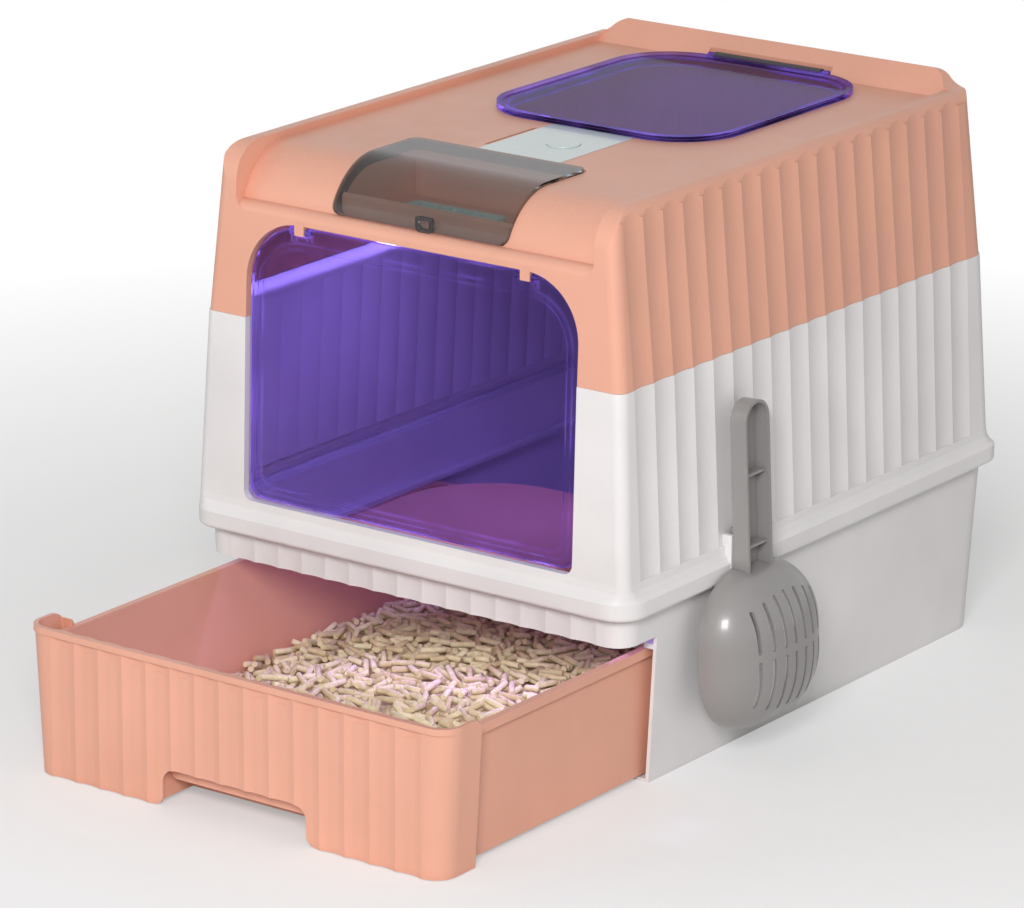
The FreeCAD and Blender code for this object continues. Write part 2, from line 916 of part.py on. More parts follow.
def deck_cutter():
    """Everything above the deck, the curved front trough and the slope of the back crest."""
    y = trough_centre_y()
    turn = math.degrees(math.asin((ledge_z - trough_z) / trough_radius))
    centre_y, centre_z, tangent = edge_arc(ledge_z, ledge_radius)
    crest = deck_height + crest_rise
    back = cover_plan(crest)[2] - crest_edge_radius
    place = side_point(-rim_inner_half_width)
    profile = path_face([
        place(back - crest_slope_length, deck_height),
        place(back, crest),
        place(back, above_all),
        place(-flange_half_length - 20.0, above_all),
        place(-flange_half_length - 20.0, tangent[1]),
        place(tangent[0], tangent[1]),
        arc_to(centre_y, centre_z, ledge_radius, 180 - lean_angle(), 90, place),
        place(y - trough_radius * math.cos(math.radians(turn)), ledge_z),
        arc_to(y, trough_z, trough_radius, 180 - turn, 90, place),
    ]).extrude(V(2.0 * rim_inner_half_width, 0, 0))
    mask = rounded_panel(
        -rim_inner_half_width, rim_inner_half_width, tangent[1] - 0.5, above_all,
        (trough_corner, 1.0), front_point(-flange_half_length - 20.0)
    ).extrude(V(0, 2.0 * flange_half_length + 40.0, 0))
    plan_mask = plate(
        -rim_inner_half_width, rim_inner_half_width, -flange_half_length - 20.0, back + 1.0,
        (1.0, shell_corner), seam_height, above_all)
    return profile.common(mask).common(plan_mask)


def cover_room():
    """Space inside the cover, below the deck and behind the curved front."""
    radii = (wall_corner, wall_back_corner)
    flutes = {"side": shell_side_ridges, "back": shell_back_ridges}
    inner = loft(
        outline(cover_plan, seam_height - 1.0, radii, wall, **flutes),
        outline(cover_plan, deck_bottom + 10.0, radii, wall, **flutes))
    y = trough_centre_y()
    radius = trough_radius - wall
    strip = entry_top + 0.5
    turn = math.degrees(math.asin((strip - trough_z) / radius))
    place = side_point(-flange_half_width)
    profile = path_face([
        place(-flange_half_length, seam_height - 5.0),
        place(flange_half_length, seam_height - 5.0),
        place(flange_half_length, deck_bottom),
        place(y, deck_bottom),
        arc_to(y, trough_z, radius, 90, 180 - turn, place),
        place(-flange_half_length, strip),
    ]).extrude(V(2.0 * flange_half_width, 0, 0))
    return inner.common(profile)


def pivot_y():
    """Axis of the entry door, behind the cover's front."""
    return cover_plan(pivot_z)[1] + pivot_setback


def door_lugs():
    """Two lugs below the arch that carry the door's pins."""
    lugs = []
    front = pivot_y() - pivot_setback
    for side in (-1.0, 1.0):
        low, high = sorted((side * lug_start, side * (lug_start + lug_width)))
        lug = box(low, high, front, front + lug_depth, pivot_z - lug_foot, entry_top + 2.0)
        lugs.append(lug.cut(cylinder_x(
            door_pin_radius + pin_clearance, low - 1.0, high + 1.0, pivot_y(), pivot_z)))
    return lugs


def hatch_opening(grown, z0, z1):
    """Prism of the hatch opening, grown by an amount on all sides."""
    inset = hatch_overlap - grown
    return plate(
        -hatch_half_width + inset, hatch_half_width - inset, hatch_front + inset,
        hatch_back - inset, (hatch_corner - inset, hatch_corner - inset), z0, z1)


def hinge_axis():
    """Place of the hatch's hinge pin."""
    return hatch_back + hinge_setback, deck_height + hinge_rise


def hinge_reach():
    """Half length of the hatch's hinge, ears included."""
    return hinge_strip_length / 2.0 + hinge_ear_width + 2.0


def module_ears():
    """Places of the four screws that hold the module."""
    inset = ear_size / 2.0
    back = module_front + module_length
    return [
        (side * (module_half_width + inset), y)
        for side in (-1.0, 1.0) for y in (module_front + ear_size, back - ear_size)
    ]


ear_top = deck_bottom - 9.0


def build_top_cover():
    """Fluted cover with a rimmed deck, a curved front trough, openings, lugs and bosses."""
    radii = (wall_corner, wall_back_corner)
    flutes = {"side": shell_side_ridges, "back": shell_back_ridges}
    walls = loft(
        outline(cover_plan, cover_bottom, radii, **flutes),
        outline(cover_plan, wall_top, radii, **flutes))
    crest_start = cover_plan(deck_height + crest_rise)[2] - crest_slope_length
    ends = end_profile(-flange_half_length - 20.0, crest_start, False).fuse(
        end_profile(crest_start, flange_half_length + 20.0, True))
    outer = walls.common(side_profile()).common(ends)
    outer = outer.cut(deck_cutter())
    shell = outer.cut(cover_room())
    shell = shell.fuse(jamb(cover_plan, outer, cover_bottom, entry_top + wall))
    shell = shell.cut(arch_prism(0.0).common(
        box(-300, 300, -400, 400, seam_height - 5.0, entry_top + 1.0)))
    shell = shell.multiFuse(door_lugs() + module_bosses())
    openings = [
        hatch_opening(0.0, deck_bottom - 1.0, deck_height + 1.0),
        flap_band(trough_radius - 2.0 * wall, trough_radius + 2.0 * wall, -flap_gap, flap_rear_gap),
        panel_recess(),
        cylinder_z(button_radius + 2.2, button_x, button_y, deck_bottom - 1.0, deck_height + 1.0),
        vent_slit(),
        hinge_recess(),
    ]
    for opening in openings:
        shell = shell.cut(opening)
    return shell.removeSplitter()


def hinge_recess():
    """Room in the back slope for the hatch's hinge strip and ears."""
    axis_y, axis_z = hinge_axis()
    return box(
        -hinge_reach(), hinge_reach(), hatch_back - 1.0, axis_y + strip_depth / 2.0 + 0.6,
        deck_height, above_all)


def panel_recess():
    """Shallow seat of the control panel."""
    return box(
        panel_left - seat_gap, panel_right + seat_gap, panel_front - seat_gap, panel_back + seat_gap,
        deck_height + panel_stand - panel_thickness, deck_height + 1.0)


def vent_slit():
    """Air slit beside the control panel."""
    left = panel_left - 2.0 - slit_width
    middle = (panel_front + panel_back) / 2.0
    return plate(
        left, left + slit_width, middle - slit_length / 2.0, middle + slit_length / 2.0,
        (slit_width * 0.45, slit_width * 0.45), deck_bottom - 1.0, deck_height + 1.0)


def module_bosses():
    """Screw bosses below the deck, with blind holes."""
    bosses = []
    for x, y in module_ears():
        boss = cylinder_z(4.0, x, y, ear_top, deck_bottom + 0.5)
        hole = cylinder_z(screw_radius + 0.02, x, y, ear_top - 1.0, ear_top + screw_length)
        bosses.append(boss.cut(hole))
    return bosses


# Deodoriser flap, its tray and cartridge


def flap_band(r_in, r_out, inset, rear_extra=0.0, corners=True):
    """Curved band over the trough and the deck, drawn in by an inset from the flap's edge."""
    y = trough_centre_y()
    z = trough_z
    lip = flap_lip_angle + math.degrees(inset / trough_radius)
    rear = flap_rear - inset + rear_extra
    half_width = flap_half_width - inset
    place = side_point(-half_width)
    lip_angle = math.radians(180.0 - lip)
    start = place(y + r_in * math.cos(lip_angle), z + r_in * math.sin(lip_angle))
    end = place(y + r_out * math.cos(lip_angle), z + r_out * math.sin(lip_angle))
    band = path_face([
        start,
        arc_to(y, z, r_in, 180 - lip, 90, place),
        place(rear, z + r_in),
        place(rear, z + r_out),
        place(y, z + r_out),
        arc_to(y, z, r_out, 90, 180 - lip, place),
    ]).extrude(V(2.0 * half_width, 0, 0))
    if not corners:
        return band
    radius = max(flap_corner - inset, 2.0)
    ends = []
    for edge in band.Edges:
        bounds = edge.BoundBox
        across = abs(abs(bounds.Center.x) - half_width) < 0.01 and bounds.XLength < 0.01
        short = edge.Length < r_out - r_in + 0.01
        if across and short and isinstance(edge.Curve, Part.Line):
            ends.append(edge)
    return band.makeFillet(radius, ends)


def flap_pin_place():
    """Axis of the deodoriser flap."""
    return flap_rear - flap_pin_setback, deck_height - flap_pin_drop


def build_deodoriser_cover():
    """Smoked flap: curved plate with a skirt and two stub pins."""
    under = trough_radius + soft_gap
    top = flap_band(under, under + flap_plate, 0.0)
    skirt = flap_band(under - flap_skirt_depth, under + 0.2, 0.0).cut(
        flap_band(under - flap_skirt_depth - 1.0, under + 0.1, flap_skirt_thickness))
    y, z = flap_pin_place()
    stubs = []
    for side in (-1.0, 1.0):
        inner = side * (flap_half_width - flap_skirt_thickness / 2.0)
        outer = side * (flap_half_width + flap_gap + tray_wall * 0.8)
        low, high = sorted((inner, outer))
        stubs.append(cylinder_x(flap_pin_radius, low, high, y, z))
    return fused([top, skirt] + stubs)


def port_place():
    """Centre in X and underside of the charge port."""
    return port_x, board_height + board_thickness


def port_window(y0, y1):
    """Hole for the charge port through a wall."""
    x, z = port_place()
    reach = port_width / 2.0 + soft_gap
    return box(x - reach, x + reach, y0, y1, z - soft_gap, z + port_height + soft_gap)


def build_deodoriser_tray():
    """Box below the flap that holds the cartridge and carries the flap's pins."""
    side = flap_half_width + flap_gap
    front = trough_centre_y() - (trough_radius + soft_gap - flap_skirt_depth) + tray_front_gap
    rear = flap_rear + flap_rear_gap + flap_gap
    outer = box(
        -side - tray_wall, side + tray_wall, front, rear + tray_wall, deodoriser_floor, deck_bottom)
    inner = box(
        -side, side, front + tray_wall, rear, deodoriser_floor + tray_wall, deck_bottom + 1.0)
    y = trough_centre_y()
    radius = trough_radius - wall - seat_gap
    turn = math.degrees(math.asin((deodoriser_floor - 1.0 - trough_z) / radius))
    place = side_point(-side - 10.0)
    under_deck = path_face([
        place(y - radius * math.cos(math.radians(turn)), deodoriser_floor - 1.0),
        arc_to(y, trough_z, radius, 180 - turn, 90, place),
        place(rear + 10.0, trough_z + radius),
        place(rear + 10.0, deodoriser_floor - 1.0),
    ]).extrude(V(2.0 * side + 20.0, 0, 0))
    tray = outer.cut(inner).common(under_deck)
    for end in (-1.0, 1.0):
        x0, x1 = sorted((end * side, end * (flap_half_width - flap_skirt_thickness - flap_gap)))
        tray = tray.cut(box(
            x0, x1, front - 1.0, front + tray_wall + 1.0, deodoriser_floor + tray_wall, deck_bottom))
    pin_y, pin_z = flap_pin_place()
    bore = cylinder_x(
        flap_pin_radius + pin_clearance, -side - 2.0 * tray_wall, side + 2.0 * tray_wall, pin_y, pin_z)
    socket = port_window(rear - 1.0, rear + tray_wall + 1.0)
    return tray.cut(bore).cut(socket).removeSplitter()


def build_deodoriser_cartridge():
    """Perforated deodoriser cartridge lying in the tray."""
    low = deodoriser_floor + tray_wall
    front = trough_centre_y() - trough_radius + wall + 3.0 + tray_wall + 10.0
    body = plate(
        cartridge_left, cartridge_right, front, front + cartridge_length, (6.0, 6.0),
        low, low + cartridge_height)
    holes = []
    columns = int((cartridge_right - cartridge_left - 20.0) / 10.0)
    rows = int((cartridge_length - 16.0) / 14.0)
    for column in range(columns + 1):
        for row in range(rows + 1):
            x = cartridge_left + 10.0 + column * 10.0
            y = front + 8.0 + row * 14.0
            holes.append(plate(
                x - 1.5, x + 1.5, y - 4.0, y + 4.0, (1.4, 1.4),
                low + cartridge_height - 2.0, low + cartridge_height + 1.0))
    for hole in holes:
        body = body.cut(hole)
    return body


def build_cover_latch():
    """Thumb latch on the flap's lip."""
    y = trough_centre_y()
    angle = math.radians(180.0 - flap_lip_angle)
    radius = trough_radius + soft_gap + flap_plate
    tip_y = y + radius * math.cos(angle)
    tip_z = trough_z + radius * math.sin(angle)
    place = front_point(tip_y - 1.0)
    x0, x1 = latch_centre - latch_width / 2.0, latch_centre + latch_width / 2.0
    low = ledge_z + soft_gap
    loop = rounded_panel(x0, x1, low, low + latch_height, (4.0, 2.0), place).extrude(V(0, 3.0, 0))
    hole = rounded_panel(
        x0 + 3.0, x1 - 3.0, low + 3.0, low + latch_height - 2.5, (2.0, 1.0),
        front_point(tip_y - 2.0)).extrude(V(0, 6.0, 0))
    outside = flap_band(trough_radius - 20.0, radius, -20.0, 0.0, False)
    lean = loop.cut(hole)
    lean.translate(V(0, -1.0, 0))
    return lean.cut(outside).Solids[0]


# Hatch


def build_top_hatch():
    """Tinted lid with a raised bead, a skirt and two hinge ears."""
    low = deck_height + seat_gap * 2.0
    lid = plate(
        -hatch_half_width, hatch_half_width, hatch_front, hatch_back,
        (hatch_corner, hatch_corner), low, low + hatch_plate)
    bead_inner = hatch_bead_width
    bead = plate(
        -hatch_half_width, hatch_half_width, hatch_front, hatch_back,
        (hatch_corner, hatch_corner), low + hatch_plate, low + hatch_plate + hatch_bead)
    bead = bead.cut(plate(
        -hatch_half_width + bead_inner, hatch_half_width - bead_inner, hatch_front + bead_inner,
        hatch_back - bead_inner, (hatch_corner - bead_inner, hatch_corner - bead_inner),
        low, low + hatch_plate + hatch_bead + 1.0))
    skirt = hatch_opening(-0.8, low - hatch_skirt_depth, low).cut(
        hatch_opening(-0.8 - hatch_skirt_thickness, low - hatch_skirt_depth - 1.0, low + 1.0))
    axis_y, axis_z = hinge_axis()
    ears = []
    for side in (-1.0, 1.0):
        inner = side * (hinge_strip_length / 2.0 + 0.8)
        outer = inner + side * hinge_ear_width
        x0, x1 = sorted((inner, outer))
        arm = box(x0, x1, hatch_back - 4.0, axis_y, low, low + hatch_plate)
        ear = arm.fuse(cylinder_x(hinge_ear_radius, x0, x1, axis_y, axis_z))
        ears.append(ear.cut(cylinder_x(
            hinge_pin_radius + pin_clearance, x0 - 1.0, x1 + 1.0, axis_y, axis_z)))
    return fused([lid, bead, skirt] + ears)


def build_hatch_hinge_strip():
    """Dark strip on the deck that holds the hatch's pin."""
    axis_y, axis_z = hinge_axis()
    half = hinge_strip_length / 2.0
    place = side_point(-half)
    radius = strip_depth / 2.0
    strip = path_face([
        place(axis_y - radius, deck_height),
        place(axis_y + radius, deck_height),
        place(axis_y + radius, axis_z - 0.5),
        arc_to(axis_y, axis_z - 0.5, radius, 0, 180, place),
    ]).extrude(V(2.0 * half, 0, 0))
    return strip.cut(cylinder_x(hinge_pin_radius + 0.01, -half - 1.0, half + 1.0, axis_y, axis_z))


def build_hatch_hinge_pin():
    """Steel rod through the strip and both ears."""
    axis_y, axis_z = hinge_axis()
    reach = hinge_strip_length / 2.0 + 0.8 + hinge_ear_width
    return cylinder_x(hinge_pin_radius, -reach, reach, axis_y, axis_z)


# Control panel, button and module


def build_control_panel():
    """White panel with a round hole for the button."""
    low = deck_height + panel_stand - panel_thickness
    panel = box(panel_left, panel_right, panel_front, panel_back, low, low + panel_thickness)
    upright = [e for e in panel.Edges if e.BoundBox.ZLength > panel_thickness / 2.0]
    panel = panel.makeFillet(3.0, upright)
    bore = cylinder_z(
        button_radius + pin_clearance + 0.2, button_x, button_y, low - 1.0, low + panel_thickness + 1.0)
    return panel.cut(bore)


def button_levels():
    """Flange underside and cap top of the button, and its stem's lower end."""
    panel_low = deck_height + panel_stand - panel_thickness
    flange_top = panel_low - soft_gap
    top = deck_height + panel_stand + button_stand
    return flange_top - button_flange, flange_top, top


def build_power_button():
    """Round push button with a flange below the panel and a stem over the switch."""
    flange_low, flange_top, top = button_levels()
    cap = cylinder_z(button_radius, button_x, button_y, flange_low, top)
    upper = [e for e in cap.Edges if abs(e.BoundBox.ZMax - top) < 0.01 and e.BoundBox.ZLength < 0.01]
    cap = cap.makeFillet(0.6, upper)
    flange = cylinder_z(button_radius + 1.5, button_x, button_y, flange_low, flange_top)
    stem_low = board_height + board_thickness + switch_height + button_travel + seat_gap
    stem = cylinder_z(2.5, button_x, button_y, stem_low, flange_low)
    return fused([cap, flange, stem])


def build_button_spring():
    """Small compression spring below the button, drawn as a sleeve."""
    flange_low = button_levels()[0]
    low = board_height + board_thickness
    ring = cylinder_z(6.5, button_x, button_y, low, flange_low)
    return ring.cut(cylinder_z(5.5, button_x, button_y, low - 1.0, flange_low + 1.0))


def build_module_housing():
    """Open-topped case below the deck, with a fan grille and screw ears."""
    back = module_front + module_length
    case = box(-module_half_width, module_half_width, module_front, back, module_bottom, deck_bottom)
    room = box(
        -module_half_width + module_wall, module_half_width - module_wall, module_front + module_wall,
        back - module_wall, module_bottom + module_wall, deck_bottom + 1.0)
    case = case.cut(room)
    ears = []
    holes = []
    for x, y in module_ears():
        inner = math.copysign(module_half_width - module_wall / 2.0, x)
        outer = math.copysign(module_half_width + ear_size, x)
        x0, x1 = sorted((inner, outer))
        ears.append(box(x0, x1, y - 5.0, y + 5.0, ear_top - 3.0 - seat_gap, ear_top - seat_gap))
        holes.append(cylinder_z(screw_radius + 0.2, x, y, ear_top - 5.0, ear_top + 1.0))
    case = fused([case] + ears)
    slots = int((fan_size - 12.0) / 8.0)
    for index in range(slots):
        x = fan_x - (slots - 1) * 4.0 + index * 8.0
        reach = math.sqrt(max((fan_size / 2.0 - 4.0) ** 2 - (x - fan_x) ** 2, 25.0))
        holes.append(plate(
            x - 1.9, x + 1.9, fan_y - reach, fan_y + reach, (1.5, 1.5),
            module_bottom - 1.0, module_bottom + module_wall + 1.0))
    holes.append(port_window(module_front - 1.0, module_front + module_wall + 1.0))
    for hole in holes:
        case = case.cut(hole)
    return case


def build_circuit_board():
    """Board on four posts, right of the fan."""
    left = fan_x + fan_size / 2.0 + 8.0
    right = module_half_width - module_wall - 2.0
    front = module_front + module_wall + 0.4
    back = module_front + module_length - module_wall - 6.0
    board = box(left, right, front, back, board_height, board_height + board_thickness)
    floor = module_bottom + module_wall
    posts = []
    for x in (left + 4.0, right - 4.0):
        for y in (front + 4.0, back - 4.0):
            posts.append(cylinder_z(2.0, x, y, floor, board_height))
    return fused([board] + posts)


def build_charge_port():
    """Metal-shelled charging socket at the board's front edge."""
    x, z = port_place()
    front = module_front - 0.2
    body = box(x - port_width / 2.0, x + port_width / 2.0, front, front + port_depth, z, z + port_height)
    long_edges = [e for e in body.Edges if e.BoundBox.YLength > port_depth / 2.0]
    body = body.makeFillet(port_height * 0.4, long_edges)
    mouth = box(
        x - port_width / 2.0 + 0.5, x + port_width / 2.0 - 0.5, front - 1.0, front + 5.5,
        z + 0.5, z + port_height - 0.5)
    tongue = box(x - 3.2, x + 3.2, front + 0.8, front + 6.0, z + 1.3, z + 1.9)
    return body.cut(mouth).fuse(tongue)


def build_tact_switch():
    """Small push switch on the board below the button."""
    half = switch_size / 2.0
    low = board_height + board_thickness
    case = box(button_x - half, button_x + half, button_y - half, button_y + half, low, low + 3.5)
    return case.fuse(cylinder_z(1.7, button_x, button_y, low + 3.5, low + switch_height))


def build_battery_cells():
    """Two round cells side by side below the board."""
    floor = module_bottom + module_wall
    left = fan_x + fan_size / 2.0 + 8.0
    right = module_half_width - module_wall - 2.0
    middle = (left + right) / 2.0
    start = module_front + (module_length - cell_length) / 2.0
    cells = []
    for side in (-1.0, 1.0):
        x = middle + side * (cell_radius + 0.5)
        z = floor + cell_radius
        cell = Part.makeCylinder(cell_radius, cell_length, V(x, start, z), V(0, 1, 0))
        cells.append(cell.fuse(Part.makeCylinder(3.0, 1.5, V(x, start + cell_length, z), V(0, 1, 0))))
    return Part.makeCompound(cells)


def build_fan_frame():
    """Square fan frame with a round duct and a spoked hub."""
    low = module_bottom + module_wall
    half = fan_size / 2.0
    frame = box(fan_x - half, fan_x + half, fan_y - half, fan_y + half, low, low + fan_depth)
    frame = frame.cut(cylinder_z(fan_bore, fan_x, fan_y, low - 1.0, low + fan_depth + 1.0))
    hub = cylinder_z(fan_hub, fan_x, fan_y, low, low + 2.5)
    spokes = [
        box(fan_x - half + 0.5, fan_x + half - 0.5, fan_y - 1.2, fan_y + 1.2, low, low + 2.0),
        box(fan_x - 1.2, fan_x + 1.2, fan_y - half + 0.5, fan_y + half - 0.5, low, low + 2.0),
    ]
    frame = fused([frame, hub] + spokes)
    return frame.cut(cylinder_z(fan_shaft_radius + 0.01, fan_x, fan_y, low - 1.0, low + 4.0))


def build_fan_shaft():
    """Fixed steel shaft that the rotor runs on."""
    low = module_bottom + module_wall
    return cylinder_z(fan_shaft_radius, fan_x, fan_y, low, low + fan_depth - 1.0)


def build_fan_rotor():
    """Hub with slanted blades, running on the shaft."""
    low = module_bottom + module_wall + 2.5 + 0.5
    high = module_bottom + module_wall + fan_depth - 1.5
    hub = cylinder_z(fan_hub - 0.5, fan_x, fan_y, low, high)
    ring = cylinder_z(fan_bore - fan_blade_gap, fan_x, fan_y, low, high)
    blades = []
    for index in range(fan_blades):
        blade = box(fan_hub - 2.0, fan_bore, -0.7, 0.7, -12.0, 12.0)
        blade.rotate(V(0, 0, 0), V(1, 0, 0), 42.0)
        blade.translate(V(fan_x, fan_y, (low + high) / 2.0))
        blade.rotate(V(fan_x, fan_y, 0), V(0, 0, 1), index * 360.0 / fan_blades)
        blades.append(blade.common(ring))
    rotor = fused([hub] + blades)
    return rotor.cut(cylinder_z(
        fan_shaft_radius + pin_clearance, fan_x, fan_y, low - 1.0, high + 1.0))


def build_carbon_filter():
    """Square carbon pad over the fan."""
    low = module_bottom + module_wall + fan_depth
    half = fan_size / 2.0
    return box(
        fan_x - half, fan_x + half, fan_y - half, fan_y + half, low + seat_gap,
        low + filter_height)


def build_housing_screws():
    """Four screws from below into the deck's bosses."""
    screws = []
    for x, y in module_ears():
        underside = ear_top - 3.0 - seat_gap
        head = cylinder_z(2.8, x, y, underside - 2.2, underside)
        head = head.cut(box(x - 2.0, x + 2.0, y - 0.4, y + 0.4, underside - 3.0, underside - 1.2))
        head = head.cut(box(x - 0.4, x + 0.4, y - 2.0, y + 2.0, underside - 3.0, underside - 1.2))
        screws.append(head.fuse(cylinder_z(screw_radius, x, y, underside, ear_top + screw_length - 0.5)))
    return Part.makeCompound(screws)


# Lamp


def lamp_back():
    """Back of the lamp bar."""
    return lamp_front + lamp_width


def build_lamp_bar():
    """Channel below the module that carries the lamp."""
    half = lamp_length / 2.0
    top = module_bottom
    low = top - lamp_depth
    bar = box(-half, half, lamp_front, lamp_back(), low, top)
    return bar.cut(box(
        -half + 1.5, half - 1.5, lamp_front + 1.5, lamp_back() - 1.5, low - 1.0, top - 1.5))


def build_lamp_board():
    """Narrow board inside the lamp bar."""
    half = lamp_length / 2.0 - 1.5 - seat_gap
    top = module_bottom - 1.5
    return box(-half, half, lamp_front + 1.6, lamp_back() - 1.6, top - 1.0, top)


def build_lamp_leds():
    """Row of violet light chips on the lamp board."""
    chips = []
    span = lamp_length - 20.0
    low = module_bottom - 2.5 - 1.4
    y = (lamp_front + lamp_back()) / 2.0
    for index in range(lamp_count):
        x = -span / 2.0 + index * span / (lamp_count - 1)
        chips.append(box(x - 2.5, x + 2.5, y - 2.5, y + 2.5, low, low + 1.4))
    return Part.makeCompound(chips)


def build_lamp_lens():
    """Clear strip that closes the lamp bar."""
    half = lamp_length / 2.0 - 1.5 - seat_gap
    low = module_bottom - lamp_depth
    return box(-half, half, lamp_front + 1.6, lamp_back() - 1.6, low, low + 1.5)


# Entry door


def door_centre_y(z):
    """Middle of the leaning door at a height."""
    return pivot_y() + door_offset + (z - pivot_z) * middle_front_draft


def build_entry_door():
    """Tinted door with a bead near its edge and pin ears at the top."""
    half_width = entry_half_width - door_gap
    low = entry_sill + door_gap * 0.85
    high = entry_top - door_gap * 1.5
    radii = (door_foot_radius, entry_arch_radius - door_gap)
    upright = pivot_y() + door_offset
    panel = arch_face(half_width, low, high, radii, upright - door_thickness / 2.0)
    panel = panel.extrude(V(0, door_thickness, 0))
    inset = door_bead_inset
    outer = arch_face(
        half_width - inset, low + inset, high - inset - 6.0,
        (radii[0], radii[1] - inset), upright - door_thickness / 2.0 - door_bead_height)
    inner = arch_face(
        half_width - inset - door_bead, low + inset + door_bead, high - inset - 6.0 - door_bead,
        (radii[0], radii[1] - inset - door_bead), upright - door_thickness / 2.0 - door_bead_height - 1.0)
    bead = outer.extrude(V(0, door_bead_height, 0)).cut(inner.extrude(V(0, door_bead_height + 2.0, 0)))
    door = panel.fuse(bead)
    lean = math.degrees(math.atan(middle_front_draft))
    door.rotate(V(0, upright, pivot_z), V(1, 0, 0), -lean)
    for side in (-1.0, 1.0):
        centre = side * (lug_start + lug_width / 2.0)
        reach = lug_width / 2.0 + 1.2
        door = door.cut(box(
            centre - reach, centre + reach, upright - 12.0, upright + 12.0,
            pivot_z - lug_foot - 1.7, high + 5.0))
    for x0, x1 in ear_spans():
        door = door.cut(cylinder_x(
            door_pin_radius + door_pin_room, x0 - 0.1, x1 + 0.1, pivot_y(), pivot_z))
    return door.multiFuse(door_ears()).removeSplitter()


def ear_spans():
    """Start and end in X of the four door ears."""
    spans = []
    for side in (-1.0, 1.0):
        inner = side * (lug_start - 0.7)
        outer = side * (lug_start + lug_width + 0.7)
        spans.append(tuple(sorted((inner, inner - side * door_ear_width))))
        spans.append(tuple(sorted((outer, outer + side * door_ear_width))))
    return spans


def door_ears():
    """Round ears that hold the door's pins."""
    ears = []
    for x0, x1 in ear_spans():
        ear = cylinder_x(door_ear_radius, x0, x1, pivot_y(), pivot_z)
        root = box(x0, x1, pivot_y() - 0.5, pivot_y() + door_offset, pivot_z - 8.0, pivot_z)
        ear = ear.fuse(root)
        ears.append(ear.cut(cylinder_x(
            door_pin_radius + 0.01, x0 - 1.0, x1 + 1.0, pivot_y(), pivot_z)))
    return ears


def build_door_hinge_pins():
    """Two short steel pins through the door's ears and the cover's lugs."""
    pins = []
    for side in (-1.0, 1.0):
        inner = side * (lug_start - 0.7 - door_ear_width)
        outer = side * (lug_start + lug_width + 0.7 + door_ear_width)
        x0, x1 = sorted((inner, outer))
        pins.append(cylinder_x(door_pin_radius, x0, x1, pivot_y(), pivot_z))
    return Part.makeCompound(pins)


# Scoop and hanger


def scoop_back():
    """Plane of the scoop's back, just outside the flange."""
    return flange_half_width + scoop_gap


def bowl_ring(shrink, x, inset):
    """Outline of the bowl at a distance from its rim."""
    middle = (bowl_top + bowl_bottom) / 2.0
    half_width = (bowl_half_width - inset) * shrink
    half_height = ((bowl_top - bowl_bottom) / 2.0 - inset) * shrink
    radius = min((bowl_corner - inset) * shrink, half_height * 0.95, half_width * 0.95)
    face = rounded_panel(
        scoop_y - half_width, scoop_y + half_width, middle - half_height, middle + half_height,
        (radius, radius), side_point(x))
    return face.OuterWire


def bowl_dome(inset, start):
    """Convex solid of the bowl, from its rim outwards."""
    depth = bowl_depth - inset
    rings = [bowl_ring(1.0, start, inset)]
    for turn in (18.0, 36.0, 54.0, 70.0, 82.0):
        angle = math.radians(turn)
        reach = scoop_back() + depth * math.sin(angle) ** 0.9
        rings.append(bowl_ring(math.cos(angle) ** 0.9, reach, inset))
    return Part.makeLoft(rings, True, False)


def build_litter_scoop():
    """Slotted scoop with a channel handle and a hook, leaning like the shell's wall."""
    bowl = bowl_dome(0.0, scoop_back()).cut(bowl_dome(bowl_wall, scoop_back() - 1.0))
    middle = (bowl_top + bowl_bottom) / 2.0
    slots = []
    for index in range(slot_count):
        y = scoop_y + (index - (slot_count - 1) / 2.0) * slot_pitch
        reach = math.sqrt(1.0 - ((y - scoop_y) / (bowl_half_width + 6.0)) ** 2)
        high = middle + reach * 47.0
        low = middle - reach * 45.0
        for z0, z1 in ((middle + 6.0, high), (low, middle)):
            slots.append(rounded_panel(
                y - slot_width / 2.0, y + slot_width / 2.0, z0, z1,
                (slot_width * 0.45, slot_width * 0.45), side_point(scoop_back() + 4.0)
            ).extrude(V(bowl_depth, 0, 0)))
    for slot in slots:
        bowl = bowl.cut(slot)
    scoop = bowl.fuse(scoop_handle())
    scoop = scoop.fuse(scoop_hook()).removeSplitter()
    scoop.rotate(V(scoop_back(), scoop_y, bowl_top), V(0, 1, 0), -scoop_lean)
    return scoop


def scoop_handle():
    """Channel handle, open outwards, with a round top and two cross bars."""
    back = scoop_back()
    half = handle_width / 2.0
    low = bowl_top - 12.0
    outer = rounded_panel(
        scoop_y - half, scoop_y + half, low, handle_top, (1.0, half * 0.98),
        side_point(back)).extrude(V(handle_depth, 0, 0))
    inner = rounded_panel(
        scoop_y - half + handle_wall, scoop_y + half - handle_wall, low + handle_wall,
        handle_top - handle_wall, (1.0, (half - handle_wall) * 0.98),
        side_point(back + handle_wall)).extrude(V(handle_depth, 0, 0))
    channel = outer.cut(inner).cut(bowl_dome(bowl_wall, back - 1.0))
    bars = []
    for level in (0.55, 0.12):
        z = bowl_top + (handle_top - bowl_top) * level
        bars.append(box(
            back + 1.0, back + handle_depth - 3.0, scoop_y - half + 1.0, scoop_y + half - 1.0,
            z, z + 2.0))
    return fused([channel] + bars)


def hanger_top():
    """Upper edge of the hanger's strap."""
    return skirt_top + hanger_height * 0.75


def lean_shift():
    """How far the leaning handle comes in at the hanger's top."""
    return (hanger_top() - bowl_top) * math.tan(math.radians(scoop_lean))


